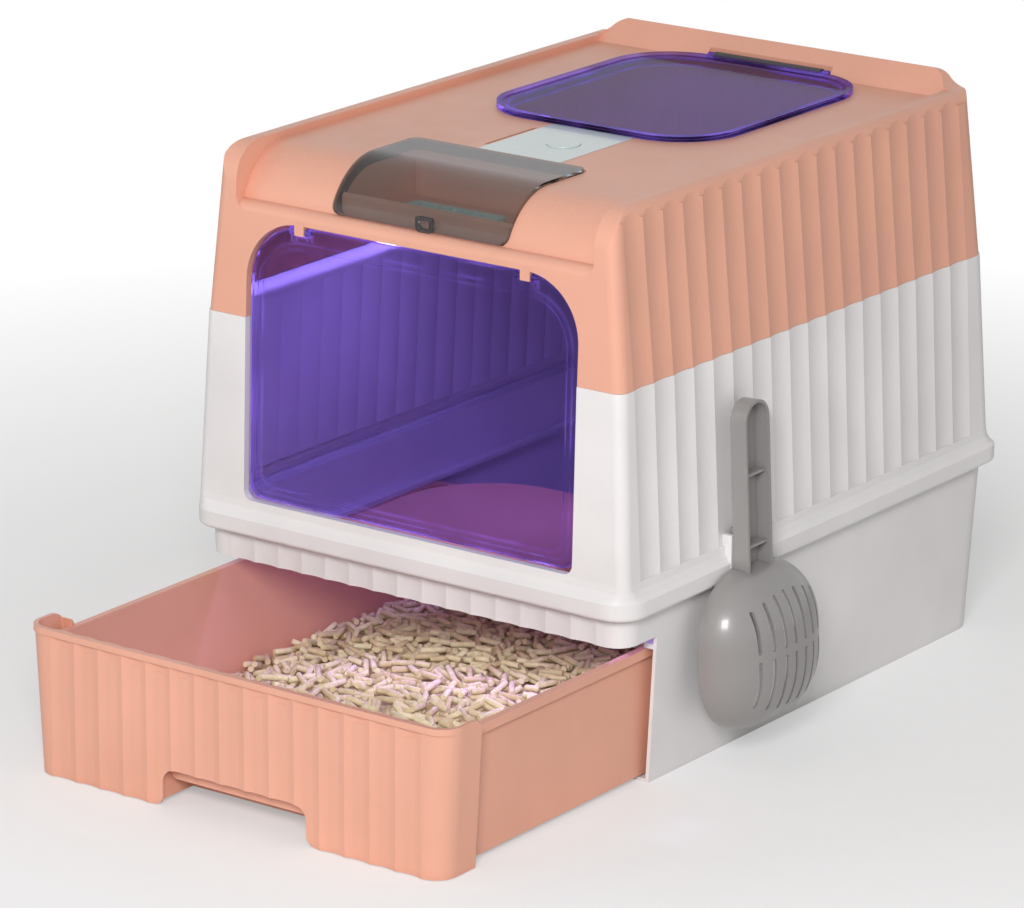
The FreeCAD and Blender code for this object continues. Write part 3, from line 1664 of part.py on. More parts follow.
def scoop_hook():
    """Downward hook behind the handle."""
    top = hanger_top() + 0.4
    back = scoop_back()
    width = hanger_width - 4.0 * hanger_wall - 4.0
    inner = back - 2.0 * soft_gap - lean_shift() - hanger_wall - hook_thickness
    bridge = box(inner, back + 1.0, scoop_y - width / 2.0, scoop_y + width / 2.0, top, top + 4.0)
    tongue = box(
        inner, inner + hook_thickness, scoop_y - width / 2.0, scoop_y + width / 2.0,
        top - hook_drop, top)
    return bridge.fuse(tongue)


def build_scoop_hanger():
    """Strap on two cheeks, standing off the shell's wall above the flange."""
    outer_x = scoop_back() - soft_gap - lean_shift()
    half = hanger_width / 2.0
    low = skirt_top - 4.0
    top = hanger_top()
    strap = box(outer_x - hanger_wall, outer_x, scoop_y - half, scoop_y + half, low, top)
    cheeks = []
    for side in (-1.0, 1.0):
        y0, y1 = sorted((scoop_y + side * half, scoop_y + side * (half - 2.0 * hanger_wall)))
        cheeks.append(box(outer_x - 14.0, outer_x, y0, y1, low, top))
    body = fused([strap] + cheeks)
    return body.cut(middle_envelope())


builders = {
    "base_shell": build_base_shell,
    "litter_drawer": build_litter_drawer,
    "litter_bed": build_litter_bed,
    "middle_shell": build_middle_shell,
    "entry_frame": build_entry_frame,
    "entry_step": build_entry_step,
    "scoop_hanger": build_scoop_hanger,
    "litter_scoop": build_litter_scoop,
    "top_cover": build_top_cover,
    "entry_door": build_entry_door,
    "door_hinge_pins": build_door_hinge_pins,
    "top_hatch": build_top_hatch,
    "hatch_hinge_strip": build_hatch_hinge_strip,
    "hatch_hinge_pin": build_hatch_hinge_pin,
    "deodoriser_cover": build_deodoriser_cover,
    "cover_latch": build_cover_latch,
    "deodoriser_tray": build_deodoriser_tray,
    "deodoriser_cartridge": build_deodoriser_cartridge,
    "control_panel": build_control_panel,
    "power_button": build_power_button,
    "button_spring": build_button_spring,
    "tact_switch": build_tact_switch,
    "circuit_board": build_circuit_board,
    "charge_port": build_charge_port,
    "battery_cells": build_battery_cells,
    "module_housing": build_module_housing,
    "housing_screws": build_housing_screws,
    "fan_frame": build_fan_frame,
    "fan_shaft": build_fan_shaft,
    "fan_rotor": build_fan_rotor,
    "carbon_filter": build_carbon_filter,
    "lamp_bar": build_lamp_bar,
    "lamp_board": build_lamp_board,
    "lamp_leds": build_lamp_leds,
    "lamp_lens": build_lamp_lens,
}

os.makedirs("parts", exist_ok=True)
for node, build in builders.items():
    shape = build()
    shape.exportStep("parts/" + node + ".step")
    bounds = shape.optimalBoundingBox()
    print(
        "%-22s solids %2d valid %s volume %9.0f x %.1f..%.1f y %.1f..%.1f z %.1f..%.1f" % (
            node, len(shape.Solids), shape.isValid(), shape.Volume, bounds.XMin, bounds.XMax,
            bounds.YMin, bounds.YMax, bounds.ZMin, bounds.ZMax))
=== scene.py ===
"""Looks of a covered cat litter box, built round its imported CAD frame."""

import json
import logging
import math
from dataclasses import dataclass
from enum import Enum

import bmesh
import bpy
import numpy as np
from mathutils import Matrix, Vector


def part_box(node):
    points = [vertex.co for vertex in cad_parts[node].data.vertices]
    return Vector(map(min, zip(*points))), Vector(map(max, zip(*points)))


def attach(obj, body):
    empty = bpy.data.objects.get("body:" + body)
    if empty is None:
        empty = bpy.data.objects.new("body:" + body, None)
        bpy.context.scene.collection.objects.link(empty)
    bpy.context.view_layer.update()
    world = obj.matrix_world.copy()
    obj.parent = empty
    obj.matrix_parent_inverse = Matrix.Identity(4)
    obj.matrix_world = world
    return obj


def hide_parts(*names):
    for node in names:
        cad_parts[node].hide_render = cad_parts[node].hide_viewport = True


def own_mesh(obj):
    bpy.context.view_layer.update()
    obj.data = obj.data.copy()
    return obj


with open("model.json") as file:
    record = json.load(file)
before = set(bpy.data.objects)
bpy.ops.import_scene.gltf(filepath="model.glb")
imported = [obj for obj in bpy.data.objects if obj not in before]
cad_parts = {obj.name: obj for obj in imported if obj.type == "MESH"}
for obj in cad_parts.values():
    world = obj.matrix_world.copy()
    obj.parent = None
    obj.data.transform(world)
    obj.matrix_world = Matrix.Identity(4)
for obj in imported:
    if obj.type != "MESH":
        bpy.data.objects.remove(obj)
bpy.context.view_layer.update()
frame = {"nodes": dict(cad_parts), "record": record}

log = logging.getLogger("litter_box")
Colour = tuple[float, float, float]
Node = bpy.types.Node
Socket = bpy.types.NodeSocket
Object = bpy.types.Object
MM = 0.001


class Surface(Enum):
    """Kinds of moulded surface."""

    SATIN = "satin"
    GLOSS = "gloss"
    TEXTURED = "textured"


class Graph:
    """Short calls that add and join nodes in one node tree."""

    def __init__(self, tree: bpy.types.NodeTree) -> None:
        """Keeps the tree that the calls add to."""
        self.tree = tree

    def node(self, kind: str, **settings: object) -> Node:
        """Adds a node.

        Args:
            kind: Node type without its ShaderNode prefix.
            **settings: Properties set on the node.

        Returns:
            The new node.
        """
        made = self.tree.nodes.new("ShaderNode" + kind)
        for name, value in settings.items():
            setattr(made, name, value)
        return made

    def feed(self, target: Socket, source: object) -> None:
        """Links a socket to an input, or sets a plain value on it."""
        if isinstance(source, Socket):
            self.tree.links.new(source, target)
        elif target.type == "RGBA" and len(source) == 3:
            target.default_value = (*source, 1.0)
        else:
            target.default_value = source

    def math(self, operation: str, first: object, second: object = 0.0) -> Socket:
        """Adds a math node and returns its result's socket."""
        made = self.node("Math", operation=operation)
        self.feed(made.inputs[0], first)
        self.feed(made.inputs[1], second)
        return made.outputs[0]

    def blend(self, share: object, first: object, second: object) -> Socket:
        """Mixes two colours by the second one's share and returns the mixed colour's socket."""
        made = self.node("Mix", data_type="RGBA")
        self.feed(made.inputs[0], share)
        self.feed(made.inputs[6], first)
        self.feed(made.inputs[7], second)
        return made.outputs[2]

    def cover(self, colour: object, mask: object, strength: float, tint: Colour) -> Socket:
        """Lays a tint over a colour where a mask says so and returns the new colour's socket."""
        return self.blend(self.math("MULTIPLY", mask, strength), colour, tint)

    def span(self, value: object, low: float, high: float, to_low: float, to_high: float) -> Socket:
        """Maps a value from one range to another, clamped, and returns its socket."""
        made = self.node("MapRange")
        self.feed(made.inputs[0], value)
        for slot, number in zip((1, 2, 3, 4), (low, high, to_low, to_high)):
            made.inputs[slot].default_value = number
        return made.outputs[0]

    def noise(self, place: object, scale: object, detail: float = 3.0) -> Socket:
        """Adds a noise texture and returns its value's socket."""
        made = self.node("TexNoise")
        self.feed(made.inputs["Vector"], place)
        self.feed(made.inputs["Scale"], scale)
        made.inputs["Detail"].default_value = detail
        return made.outputs[0]

    def surface(self, shader: Node, colour: object, roughness: object) -> None:
        """Feeds a shader's base colour and roughness."""
        self.feed(shader.inputs["Base Color"], colour)
        self.feed(shader.inputs["Roughness"], roughness)

    def bump(self, shader: Node, height: object, distance: float, strength: float = 1.0) -> None:
        """Bumps a shader's normal by a height, up to a distance in metres."""
        made = self.node("Bump")
        made.inputs["Distance"].default_value = distance
        made.inputs["Strength"].default_value = strength
        self.feed(made.inputs["Height"], height)
        self.feed(shader.inputs["Normal"], made.outputs[0])

    def mix_shaders(self, share: object, first: Node, second: Node, output: Node) -> None:
        """Mixes two shaders and shows the result at an output."""
        mixed = self.node("MixShader")
        self.feed(mixed.inputs[0], share)
        self.tree.links.new(first.outputs[0], mixed.inputs[1])
        self.tree.links.new(second.outputs[0], mixed.inputs[2])
        self.tree.links.new(mixed.outputs[0], output.inputs["Surface"])

    def place(self) -> Socket:
        """Coordinates in the object's own frame, in metres."""
        return self.node("TexCoord").outputs["Object"]


class ShaderGroups:
    """Surface effects that several materials share, each built once."""

    def __init__(self) -> None:
        """Builds all the groups."""
        self.grain = self._moulded_grain()
        self.edge_mask = self._edge_wear_and_glow()
        self.dust_and_shade = self._dust_and_hollow_shade()
        self.scratches = self._fine_scratches()

    @staticmethod
    def _shell(name: str, inputs: dict[str, float], outputs: tuple[str, ...]) -> tuple:
        """Makes an empty group whose sockets are all plain numbers.

        Args:
            name: Name of the group.
            inputs: Default of each input.
            outputs: Names of the outputs.

        Returns:
            The tree, its graph, its input node and its output node.
        """
        tree = bpy.data.node_groups.new(name, "ShaderNodeTree")
        for label, value in inputs.items():
            socket = tree.interface.new_socket(name=label, in_out="INPUT", socket_type="NodeSocketFloat")
            socket.default_value = value
        for label in outputs:
            tree.interface.new_socket(name=label, in_out="OUTPUT", socket_type="NodeSocketFloat")
        source = tree.nodes.new("NodeGroupInput")
        sink = tree.nodes.new("NodeGroupOutput")
        return tree, Graph(tree), source, sink

    def _moulded_grain(self) -> bpy.types.NodeTree:
        """Spark-eroded mould texture with slow waves from shrinkage."""
        tree, graph, source, sink = self._shell(
            "moulded_grain", {"Grain scale": 1800.0, "Wave scale": 22.0, "Wave share": 0.5},
            ("Height", "Tone", "Roughness shift"))
        place = graph.place()
        fine = graph.noise(place, source.outputs["Grain scale"], 2.0)
        slow = graph.noise(place, source.outputs["Wave scale"], 1.5)
        waves = graph.math("MULTIPLY", slow, source.outputs["Wave share"])
        graph.feed(sink.inputs["Height"], graph.math("ADD", fine, waves))
        cloud = graph.noise(place, 9.0, 4.0)
        graph.feed(sink.inputs["Tone"], graph.span(cloud, 0.3, 0.7, -1.0, 1.0))
        patch = graph.noise(place, 37.0, 5.0)
        graph.feed(sink.inputs["Roughness shift"], graph.span(patch, 0.25, 0.75, -1.0, 1.0))
        return tree

    def _edge_wear_and_glow(self) -> bpy.types.NodeTree:
        """Mask of convex edges, found from the normal of a small round: rubbed wear on opaque plastic, a
        painted glow on clear mouldings.
        """
        tree, graph, source, sink = self._shell("edge_wear_and_glow", {"Radius": 0.0012, "Break up": 90.0}, ("Mask",))
        round_edge = graph.node("Bevel", samples=3)
        graph.feed(round_edge.inputs["Radius"], source.outputs["Radius"])
        plain = graph.node("NewGeometry").outputs["Normal"]
        dot = graph.node("VectorMath", operation="DOT_PRODUCT")
        graph.feed(dot.inputs[0], round_edge.outputs[0])
        graph.feed(dot.inputs[1], plain)
        edge = graph.span(dot.outputs["Value"], 0.995, 0.9, 0.0, 1.0)
        patchy = graph.noise(graph.place(), source.outputs["Break up"], 4.0)
        share = graph.span(patchy, 0.4, 0.65, 0.15, 1.0)
        graph.feed(sink.inputs["Mask"], graph.math("MULTIPLY", edge, share))
        return tree

    def _dust_and_hollow_shade(self) -> bpy.types.NodeTree:
        """Pale dust on faces that look up, and painted shade darkening the hollows."""
        tree, graph, source, sink = self._shell("dust_and_hollow_shade", {"Reach": 0.006}, ("Dust", "Painted hollow shade"))
        normal = graph.node("NewGeometry").outputs["Normal"]
        split = graph.node("SeparateXYZ")
        graph.feed(split.inputs[0], normal)
        up = graph.span(split.outputs["Z"], 0.55, 1.0, 0.0, 1.0)
        speck = graph.span(graph.noise(graph.place(), 260.0, 6.0), 0.52, 0.75, 0.0, 1.0)
        graph.feed(sink.inputs["Dust"], graph.math("MULTIPLY", up, speck))
        # Painted shade: ambient occlusion darkens creases and hollows where shade falls.
        hollow = graph.node("AmbientOcclusion", samples=3)
        graph.feed(hollow.inputs["Distance"], source.outputs["Reach"])
        graph.feed(sink.inputs["Painted hollow shade"], graph.span(hollow.outputs["AO"], 0.9, 0.35, 0.0, 1.0))
        return tree

    def _fine_scratches(self) -> bpy.types.NodeTree:
        """Hairline scratches from wiping, in two directions."""
        tree, graph, source, sink = self._shell("fine_scratches", {"Density": 1.0}, ("Mask",))
        place = graph.place()
        found = None
        for turn, stretch in ((0.35, 7.0), (2.1, 9.0)):
            mapping = graph.node("Mapping")
            graph.feed(mapping.inputs["Vector"], place)
            mapping.inputs["Rotation"].default_value = (turn * 0.4, turn * 0.3, turn)
            mapping.inputs["Scale"].default_value = (stretch, 620.0, 620.0)
            streak = graph.noise(mapping.outputs[0], 1.0, 2.0)
            line = graph.span(streak, 0.66, 0.72, 0.0, 1.0)
            found = line if found is None else graph.math("MAXIMUM", found, line)
        graph.feed(sink.inputs["Mask"], graph.math("MULTIPLY", found, source.outputs["Density"]))
        return tree


groups = ShaderGroups()


def place_group(graph: Graph, tree: bpy.types.NodeTree, **values: float) -> Node:
    """Places a shared effect in a material.

    Args:
        graph: Graph of the material.
        tree: The shared group.
        **values: Input values, named with underscores for spaces.

    Returns:
        The group node.
    """
    made = graph.node("Group")
    made.node_tree = tree
    for name, value in values.items():
        made.inputs[name.replace("_", " ")].default_value = value
    return made


def new_material(name: str) -> tuple[bpy.types.Material, Graph, Node, Node]:
    """Makes a material with a Principled shader.

    Args:
        name: Name of the material.

    Returns:
        The material, its graph, its shader node and its output node.
    """
    material = bpy.data.materials.new(name)
    material.use_nodes = True
    tree = material.node_tree
    return material, Graph(tree), tree.nodes["Principled BSDF"], tree.nodes["Material Output"]


@dataclass(frozen=True)
class Finish:
    """A finish, which the classes below paint.

    Attributes:
        name: Name of the finish.
    """

    name: str

    def paint(self, graph: Graph, shader: Node, output: Node) -> None:
        """Feeds the material's shader and output."""
        raise NotImplementedError

    def material(self) -> bpy.types.Material:
        """Builds the material."""
        material, graph, shader, output = new_material(self.name)
        self.paint(graph, shader, output)
        return material


@dataclass(frozen=True)
class MouldedPlastic(Finish):
    """Opaque moulded plastic with grain, wear, dust, slow tone changes and painted shade in its hollows.

    Attributes:
        colour: Linear base colour.
        roughness: Mean roughness.
        kind: Surface kind, which sets the grain's depth.
        grain: Grain scale, in waves per metre.
        dust_tint: Colour of the dust that settles on it.
    """

    colour: Colour
    roughness: float = 0.38
    kind: Surface = Surface.SATIN
    grain: float = 1800.0
    dust_tint: Colour = (0.82, 0.78, 0.72)

    def paint(self, graph: Graph, shader: Node, output: Node) -> None:
        """Feeds the material's shader and output."""
        depth = {Surface.SATIN: 0.00003, Surface.GLOSS: 0.00001, Surface.TEXTURED: 0.0001}[self.kind]
        grain = place_group(graph, groups.grain, Grain_scale=self.grain)
        edge_mask = place_group(graph, groups.edge_mask, Radius=0.0012)
        dust_and_shade = place_group(graph, groups.dust_and_shade, Reach=0.007)
        scratch = place_group(graph, groups.scratches, Density=0.6)
        darker = tuple(c * 0.93 for c in self.colour)
        lighter = tuple(min(c * 1.04, 0.95) for c in self.colour)
        tone = graph.span(grain.outputs["Tone"], -1.0, 1.0, 0.0, 1.0)
        colour = graph.blend(tone, darker, lighter)
        rubbed = tuple(c * 0.75 + 0.22 for c in self.colour)
        colour = graph.cover(colour, edge_mask.outputs["Mask"], 0.35, rubbed)
        # Painted shade: creases and hollows are darkened towards a deeper copy of the colour.
        shade = tuple(c * c * 0.62 + c * 0.2 for c in self.colour)
        colour = graph.cover(colour, dust_and_shade.outputs["Painted hollow shade"], 0.3, shade)
        settled = 0.04 if self.kind is Surface.GLOSS else 0.15
        colour = graph.cover(colour, dust_and_shade.outputs["Dust"], settled, self.dust_tint)
        rough = graph.math("MULTIPLY", grain.outputs["Roughness shift"], 0.05)
        rough = graph.math("ADD", rough, self.roughness)
        rough = graph.math("SUBTRACT", rough, graph.math("MULTIPLY", edge_mask.outputs["Mask"], 0.1))
        rough = graph.math("ADD", rough, graph.math("MULTIPLY", dust_and_shade.outputs["Dust"], settled))
        rough = graph.math("ADD", rough, graph.math("MULTIPLY", scratch.outputs["Mask"], 0.12))
        graph.surface(shader, colour, rough)
        shader.inputs["IOR"].default_value = 1.49
        if self.kind is Surface.GLOSS:
            shader.inputs["Coat Weight"].default_value = 0.35
            shader.inputs["Coat Roughness"].default_value = 0.12
        cuts = graph.math("MULTIPLY", scratch.outputs["Mask"], 0.3)
        graph.bump(shader, graph.math("SUBTRACT", grain.outputs["Height"], cuts), depth, 0.8)


@dataclass(frozen=True)
class ClearPlastic(Finish):
    """Tinted see-through moulding that lets tinted light pass.

    Attributes:
        tint: Colour of light that goes through.
        shade: Colour of light that reaches what is behind.
        roughness: Mean roughness.
        glare: Strength of the mirror reflections, 0.5 being that of plain plastic.
        deep: Tint seen at a slant, where the way through is longer.
        painted_rim_glow: Painted glow that the moulding's rounds and edges emit, standing in for lamp light
            gathering there.
        skin: Strength of a glossy skin over the moulding.
        index: Refractive index, kept low so that what is behind stays straight.
    """

    tint: Colour
    shade: Colour
    roughness: float = 0.05
    glare: float = 0.3
    deep: Colour = (0.3, 0.3, 0.3)
    painted_rim_glow: Colour = (0.0, 0.0, 0.0)
    skin: float = 0.0
    index: float = 1.08

    def paint(self, graph: Graph, shader: Node, output: Node) -> None:
        """Feeds the material's shader and output."""
        grain = place_group(graph, groups.grain, Grain_scale=260.0, Wave_scale=14.0, Wave_share=2.0)
        scratch = place_group(graph, groups.scratches, Density=1.0)
        dust_and_shade = place_group(graph, groups.dust_and_shade, Reach=0.004)
        tone = graph.span(grain.outputs["Tone"], -1.0, 1.0, 0.0, 1.0)
        darker = tuple(c * 0.9 for c in self.tint)
        colour = graph.blend(tone, darker, self.tint)
        slant = graph.node("LayerWeight").outputs["Facing"]
        colour = graph.blend(graph.span(slant, 0.3, 0.72, 0.0, 1.0), colour, self.deep)
        shader.inputs["Transmission Weight"].default_value = 1.0
        shader.inputs["IOR"].default_value = self.index
        shader.inputs["Specular IOR Level"].default_value = self.glare
        shader.inputs["Coat Weight"].default_value = self.skin
        # Painted glow: the rounds and edges emit the rim colour, though the moulding is no lamp.
        if any(self.painted_rim_glow):
            edge = place_group(graph, groups.edge_mask, Radius=0.004, Break_up=25.0)
            graph.feed(shader.inputs["Emission Color"], self.painted_rim_glow)
            graph.feed(shader.inputs["Emission Strength"], edge.outputs["Mask"])
        rough = graph.math("MULTIPLY", scratch.outputs["Mask"], 0.1)
        rough = graph.math("ADD", rough, graph.math("MULTIPLY", dust_and_shade.outputs["Dust"], 0.12))
        graph.surface(shader, colour, graph.math("ADD", rough, self.roughness))
        graph.bump(shader, grain.outputs["Height"], 0.00002)
        path = graph.node("LightPath")
        open_way = graph.node("BsdfTransparent")
        graph.feed(open_way.inputs["Color"], self.shade)
        through = graph.math("MAXIMUM", path.outputs["Is Shadow Ray"], path.outputs["Is Diffuse Ray"])
        graph.mix_shaders(through, shader, open_way, output)


@dataclass(frozen=True)
class LampGlow(Finish):
    """Light-emitting lens with a hot core and a soft edge.

    Attributes:
        colour: Colour of the light.
        strength: Emission strength.
    """

    colour: Colour
    strength: float

    def paint(self, graph: Graph, shader: Node, output: Node) -> None:
        """Feeds the material's shader and output."""
        spots = graph.noise(graph.place(), 300.0, 2.0)
        pale = tuple(0.6 * c + 0.4 for c in self.colour)
        colour = graph.blend(spots, self.colour, pale)
        graph.feed(shader.inputs["Emission Color"], colour)
        shader.inputs["Emission Strength"].default_value = self.strength
        graph.surface(shader, colour, graph.span(spots, 0.3, 0.7, 0.2, 0.4))


@dataclass(frozen=True)
class GroundSteel(Finish):
    """Drawn or ground metal with fine lines along one axis.

    Attributes:
        colour: Linear base colour.
        roughness: Mean roughness.
    """

    colour: Colour = (0.56, 0.55, 0.53)
    roughness: float = 0.28

    def paint(self, graph: Graph, shader: Node, output: Node) -> None:
        """Feeds the material's shader and output."""
        mapping = graph.node("Mapping")
        graph.feed(mapping.inputs["Vector"], graph.place())
        mapping.inputs["Scale"].default_value = (40.0, 2600.0, 2600.0)
        lines = graph.noise(mapping.outputs[0], 1.0, 4.0)
        dust_and_shade = place_group(graph, groups.dust_and_shade, Reach=0.002)
        colour = graph.blend(lines, tuple(c * 0.8 for c in self.colour), self.colour)
        # Painted shade: hollows are darkened towards dark brown.
        colour = graph.cover(colour, dust_and_shade.outputs["Painted hollow shade"], 0.5, (0.12, 0.1, 0.08))
        shader.inputs["Metallic"].default_value = 1.0
        rough = graph.span(lines, 0.3, 0.7, self.roughness - 0.08, self.roughness + 0.1)
        graph.surface(shader, colour, rough)
        graph.bump(shader, lines, 0.00001)


@dataclass(frozen=True)
class PressedWood(Finish):
    """Pressed sawdust pellets, each with its own tone.

    Attributes:
        pale: Colour of the palest wood.
        dark: Colour of the darkest wood.
    """

    pale: Colour = (0.92, 0.85, 0.58)
    dark: Colour = (0.62, 0.48, 0.28)

    def paint(self, graph: Graph, shader: Node, output: Node) -> None:
        """Feeds the material's shader and output."""
        tone = graph.node("Attribute", attribute_name="pellet_tone").outputs["Fac"]
        place = graph.place()
        fibre = graph.noise(place, 900.0, 5.0)
        blotch = graph.noise(place, 210.0, 3.0)
        share = graph.math("ADD", graph.math("MULTIPLY", tone, 0.6), graph.span(blotch, 0.3, 0.7, -0.12, 0.3))
        colour = graph.blend(share, self.dark, self.pale)
        knot = tuple(c * 0.6 for c in self.dark)
        colour = graph.blend(graph.span(fibre, 0.55, 0.75, 0.0, 0.35), colour, knot)
        dust_and_shade = place_group(graph, groups.dust_and_shade, Reach=0.004)
        colour = graph.cover(colour, dust_and_shade.outputs["Dust"], 0.35, (0.9, 0.83, 0.66))
        graph.surface(shader, colour, graph.span(fibre, 0.3, 0.7, 0.68, 0.86))
        graph.bump(shader, graph.math("ADD", fibre, graph.math("MULTIPLY", blotch, 0.8)), 0.00025, 0.7)


@dataclass(frozen=True)
class PorousFoam(Finish):
    """Open black carbon foam.

    Attributes:
        colour: Linear base colour.
    """

    colour: Colour = (0.028, 0.028, 0.03)

    def paint(self, graph: Graph, shader: Node, output: Node) -> None:
        """Feeds the material's shader and output."""
        cells = graph.node("TexVoronoi", feature="F1")
        graph.feed(cells.inputs["Vector"], graph.place())
        cells.inputs["Scale"].default_value = 620.0
        depth = cells.outputs["Distance"]
        # Painted shade: the cells' hollows go near black, and the web between them is lighter.
        web = tuple(2.2 * c for c in self.colour)
        colour = graph.blend(depth, (0.006, 0.006, 0.007), web)
        graph.surface(shader, colour, graph.span(depth, 0.0, 0.6, 0.98, 0.7))
        graph.bump(shader, depth, 0.0008)


@dataclass(frozen=True)
class BoardMask(Finish):
    """Green solder mask over copper tracks.

    Attributes:
        mask: Colour of the mask on the bare board.
        track: Colour of the mask on a track.
    """

    mask: Colour = (0.012, 0.13, 0.05)
    track: Colour = (0.03, 0.24, 0.09)

    def paint(self, graph: Graph, shader: Node, output: Node) -> None:
        """Feeds the material's shader and output."""
        place = graph.place()
        tracks = graph.node("TexBrick")
        graph.feed(tracks.inputs["Vector"], place)
        tracks.inputs["Scale"].default_value = 190.0
        tracks.inputs["Mortar Size"].default_value = 0.06
        lines = tracks.outputs["Fac"]
        cloud = graph.noise(place, 120.0, 3.0)
        colour = graph.blend(lines, self.mask, self.track)
        colour = graph.blend(graph.span(cloud, 0.4, 0.8, 0.0, 0.3), colour, (0.006, 0.07, 0.03))
        graph.surface(shader, colour, graph.span(cloud, 0.3, 0.7, 0.24, 0.4))
        graph.bump(shader, lines, 0.00004)


class Finishes:
    """All finishes of the litter box, built once and kept by name."""

    def __init__(self) -> None:
        """Builds the materials."""
        gloss, textured = Surface.GLOSS, Surface.TEXTURED
        kinds = (
            MouldedPlastic("white_plastic", (0.80, 0.785, 0.78), 0.40),
            MouldedPlastic("peach_plastic", (0.79, 0.40, 0.285), 0.40),
            MouldedPlastic("grey_plastic", (0.29, 0.28, 0.275), 0.33, gloss, dust_tint=(0.6, 0.58, 0.55)),
            MouldedPlastic("white_gloss", (0.60, 0.69, 0.70), 0.22, gloss, 3000.0, (0.66, 0.72, 0.73)),
            MouldedPlastic("mint_plastic", (0.66, 0.78, 0.70), 0.45),
            MouldedPlastic("dark_plastic", (0.035, 0.032, 0.038), 0.5, textured, dust_tint=(0.3, 0.28, 0.27)),
            # The violet moulding's last colour is the painted glow of its edges.
            ClearPlastic(
                "violet_clear", (0.40, 0.36, 0.66), (0.32, 0.26, 0.54), 0.04, 0.2, (0.30, 0.12, 0.86),
                (0.12, 0.07, 0.36)),
            ClearPlastic(
                "smoked_clear", (0.38, 0.46, 0.50), (0.80, 0.80, 0.80), 0.05, 0.4, (0.28, 0.30, 0.34),
                skin=0.5),
            ClearPlastic("frosted_lens", (0.92, 0.92, 0.98), (0.9, 0.9, 0.97), 0.45, 0.5, (0.85, 0.85, 0.92)),
            LampGlow("violet_lamp", (0.36, 0.14, 1.0), 14.0),
            GroundSteel("steel"),
            GroundSteel("gold_contact", (0.75, 0.55, 0.22), 0.2),
            BoardMask("green_board"),
            MouldedPlastic("cell_wrap", (0.05, 0.22, 0.5), 0.22, gloss),
            PorousFoam("carbon_foam"),
            PressedWood("wood_pellets"),
        )
        self.made = {kind.name: kind.material() for kind in kinds}

    def dress_frame(self) -> None:
        """Gives every CAD node the finish that its slot in the record names."""
        for part in frame["record"]["subparts"]:
            node = frame["nodes"][part["node"]]
            node.data.materials.clear()
            node.data.materials.append(self.made[part["material_slot"]])
            log.info("dressed %s in %s", part["node"], part["material_slot"])


def add_object(name: str, data: bpy.types.ID) -> Object:
    """Adds an object with the given data to the scene."""
    made = bpy.data.objects.new(name, data)
    bpy.context.scene.collection.objects.link(made)
    return made


def make_piece(
        finishes: Finishes, name: str, mesh: bpy.types.Mesh, body: str, slot: str,
        finish: str = "") -> Object:
    """Adds a mesh to the scene as a piece on a CAD body.

    Args:
        finishes: The finishes.
        name: Name of the piece.
        mesh: Its mesh, in the row frame.
        body: CAD body that it rides on.
        slot: The record's material slot.
        finish: Name of its finish, where that isn't the slot's.

    Returns:
        The new object.
    """
    piece = add_object(name, mesh)
    mesh.materials.append(finishes.made[finish or slot])
    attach(piece, body)
    log.info("built %s with %d faces", name, len(mesh.polygons))
    return piece


def mesh_from(
        name: str, points: np.ndarray, faces: list[tuple[int, ...]], smooth: bool = True) -> bpy.types.Mesh:
    """Makes a mesh from points in metres."""
    mesh = bpy.data.meshes.new(name)
    mesh.from_pydata(np.asarray(points, float).tolist(), [], faces)
    mesh.polygons.foreach_set("use_smooth", [smooth] * len(mesh.polygons))
    mesh.update()
    return mesh


def tube_faces(first: int, rings: int, sides: int) -> list[tuple[int, int, int, int]]:
    """Lists the faces between rings of points.

    Args:
        first: Number of the first ring's first point.
        rings: Number of steps from ring to ring.
        sides: Points in each ring.

    Returns:
        Four point numbers for each face.
    """
    faces = []
    for ring in range(rings):
        for side in range(sides):
            a, b = first + ring * sides + side, first + ring * sides + (side + 1) % sides
            faces.append((a, b, b + sides, a + sides))
    return faces


def hang_light(
        name: str, place: Vector, aim: Vector, size: tuple[float, float], power: float,
        colour: Colour) -> Object:
    """Hangs a rectangular light that faces a point.

    Args:
        name: Name of the light.
        place: Its centre.
        aim: Point that it faces.
        size: Its two sides.
        power: Power in watts.
        colour: Colour of its light.

    Returns:
        The light's object.
    """
    data = bpy.data.lights.new(name, "AREA")
    data.shape = "RECTANGLE"
    data.size, data.size_y = size
    data.energy = power
    data.color = colour
    holder = add_object(name, data)
    holder.location = place
    holder.rotation_mode = "QUATERNION"
    holder.rotation_quaternion = (aim - place).to_track_quat("-Z", "Y")
    log.info("hung %s", name)
    return holder


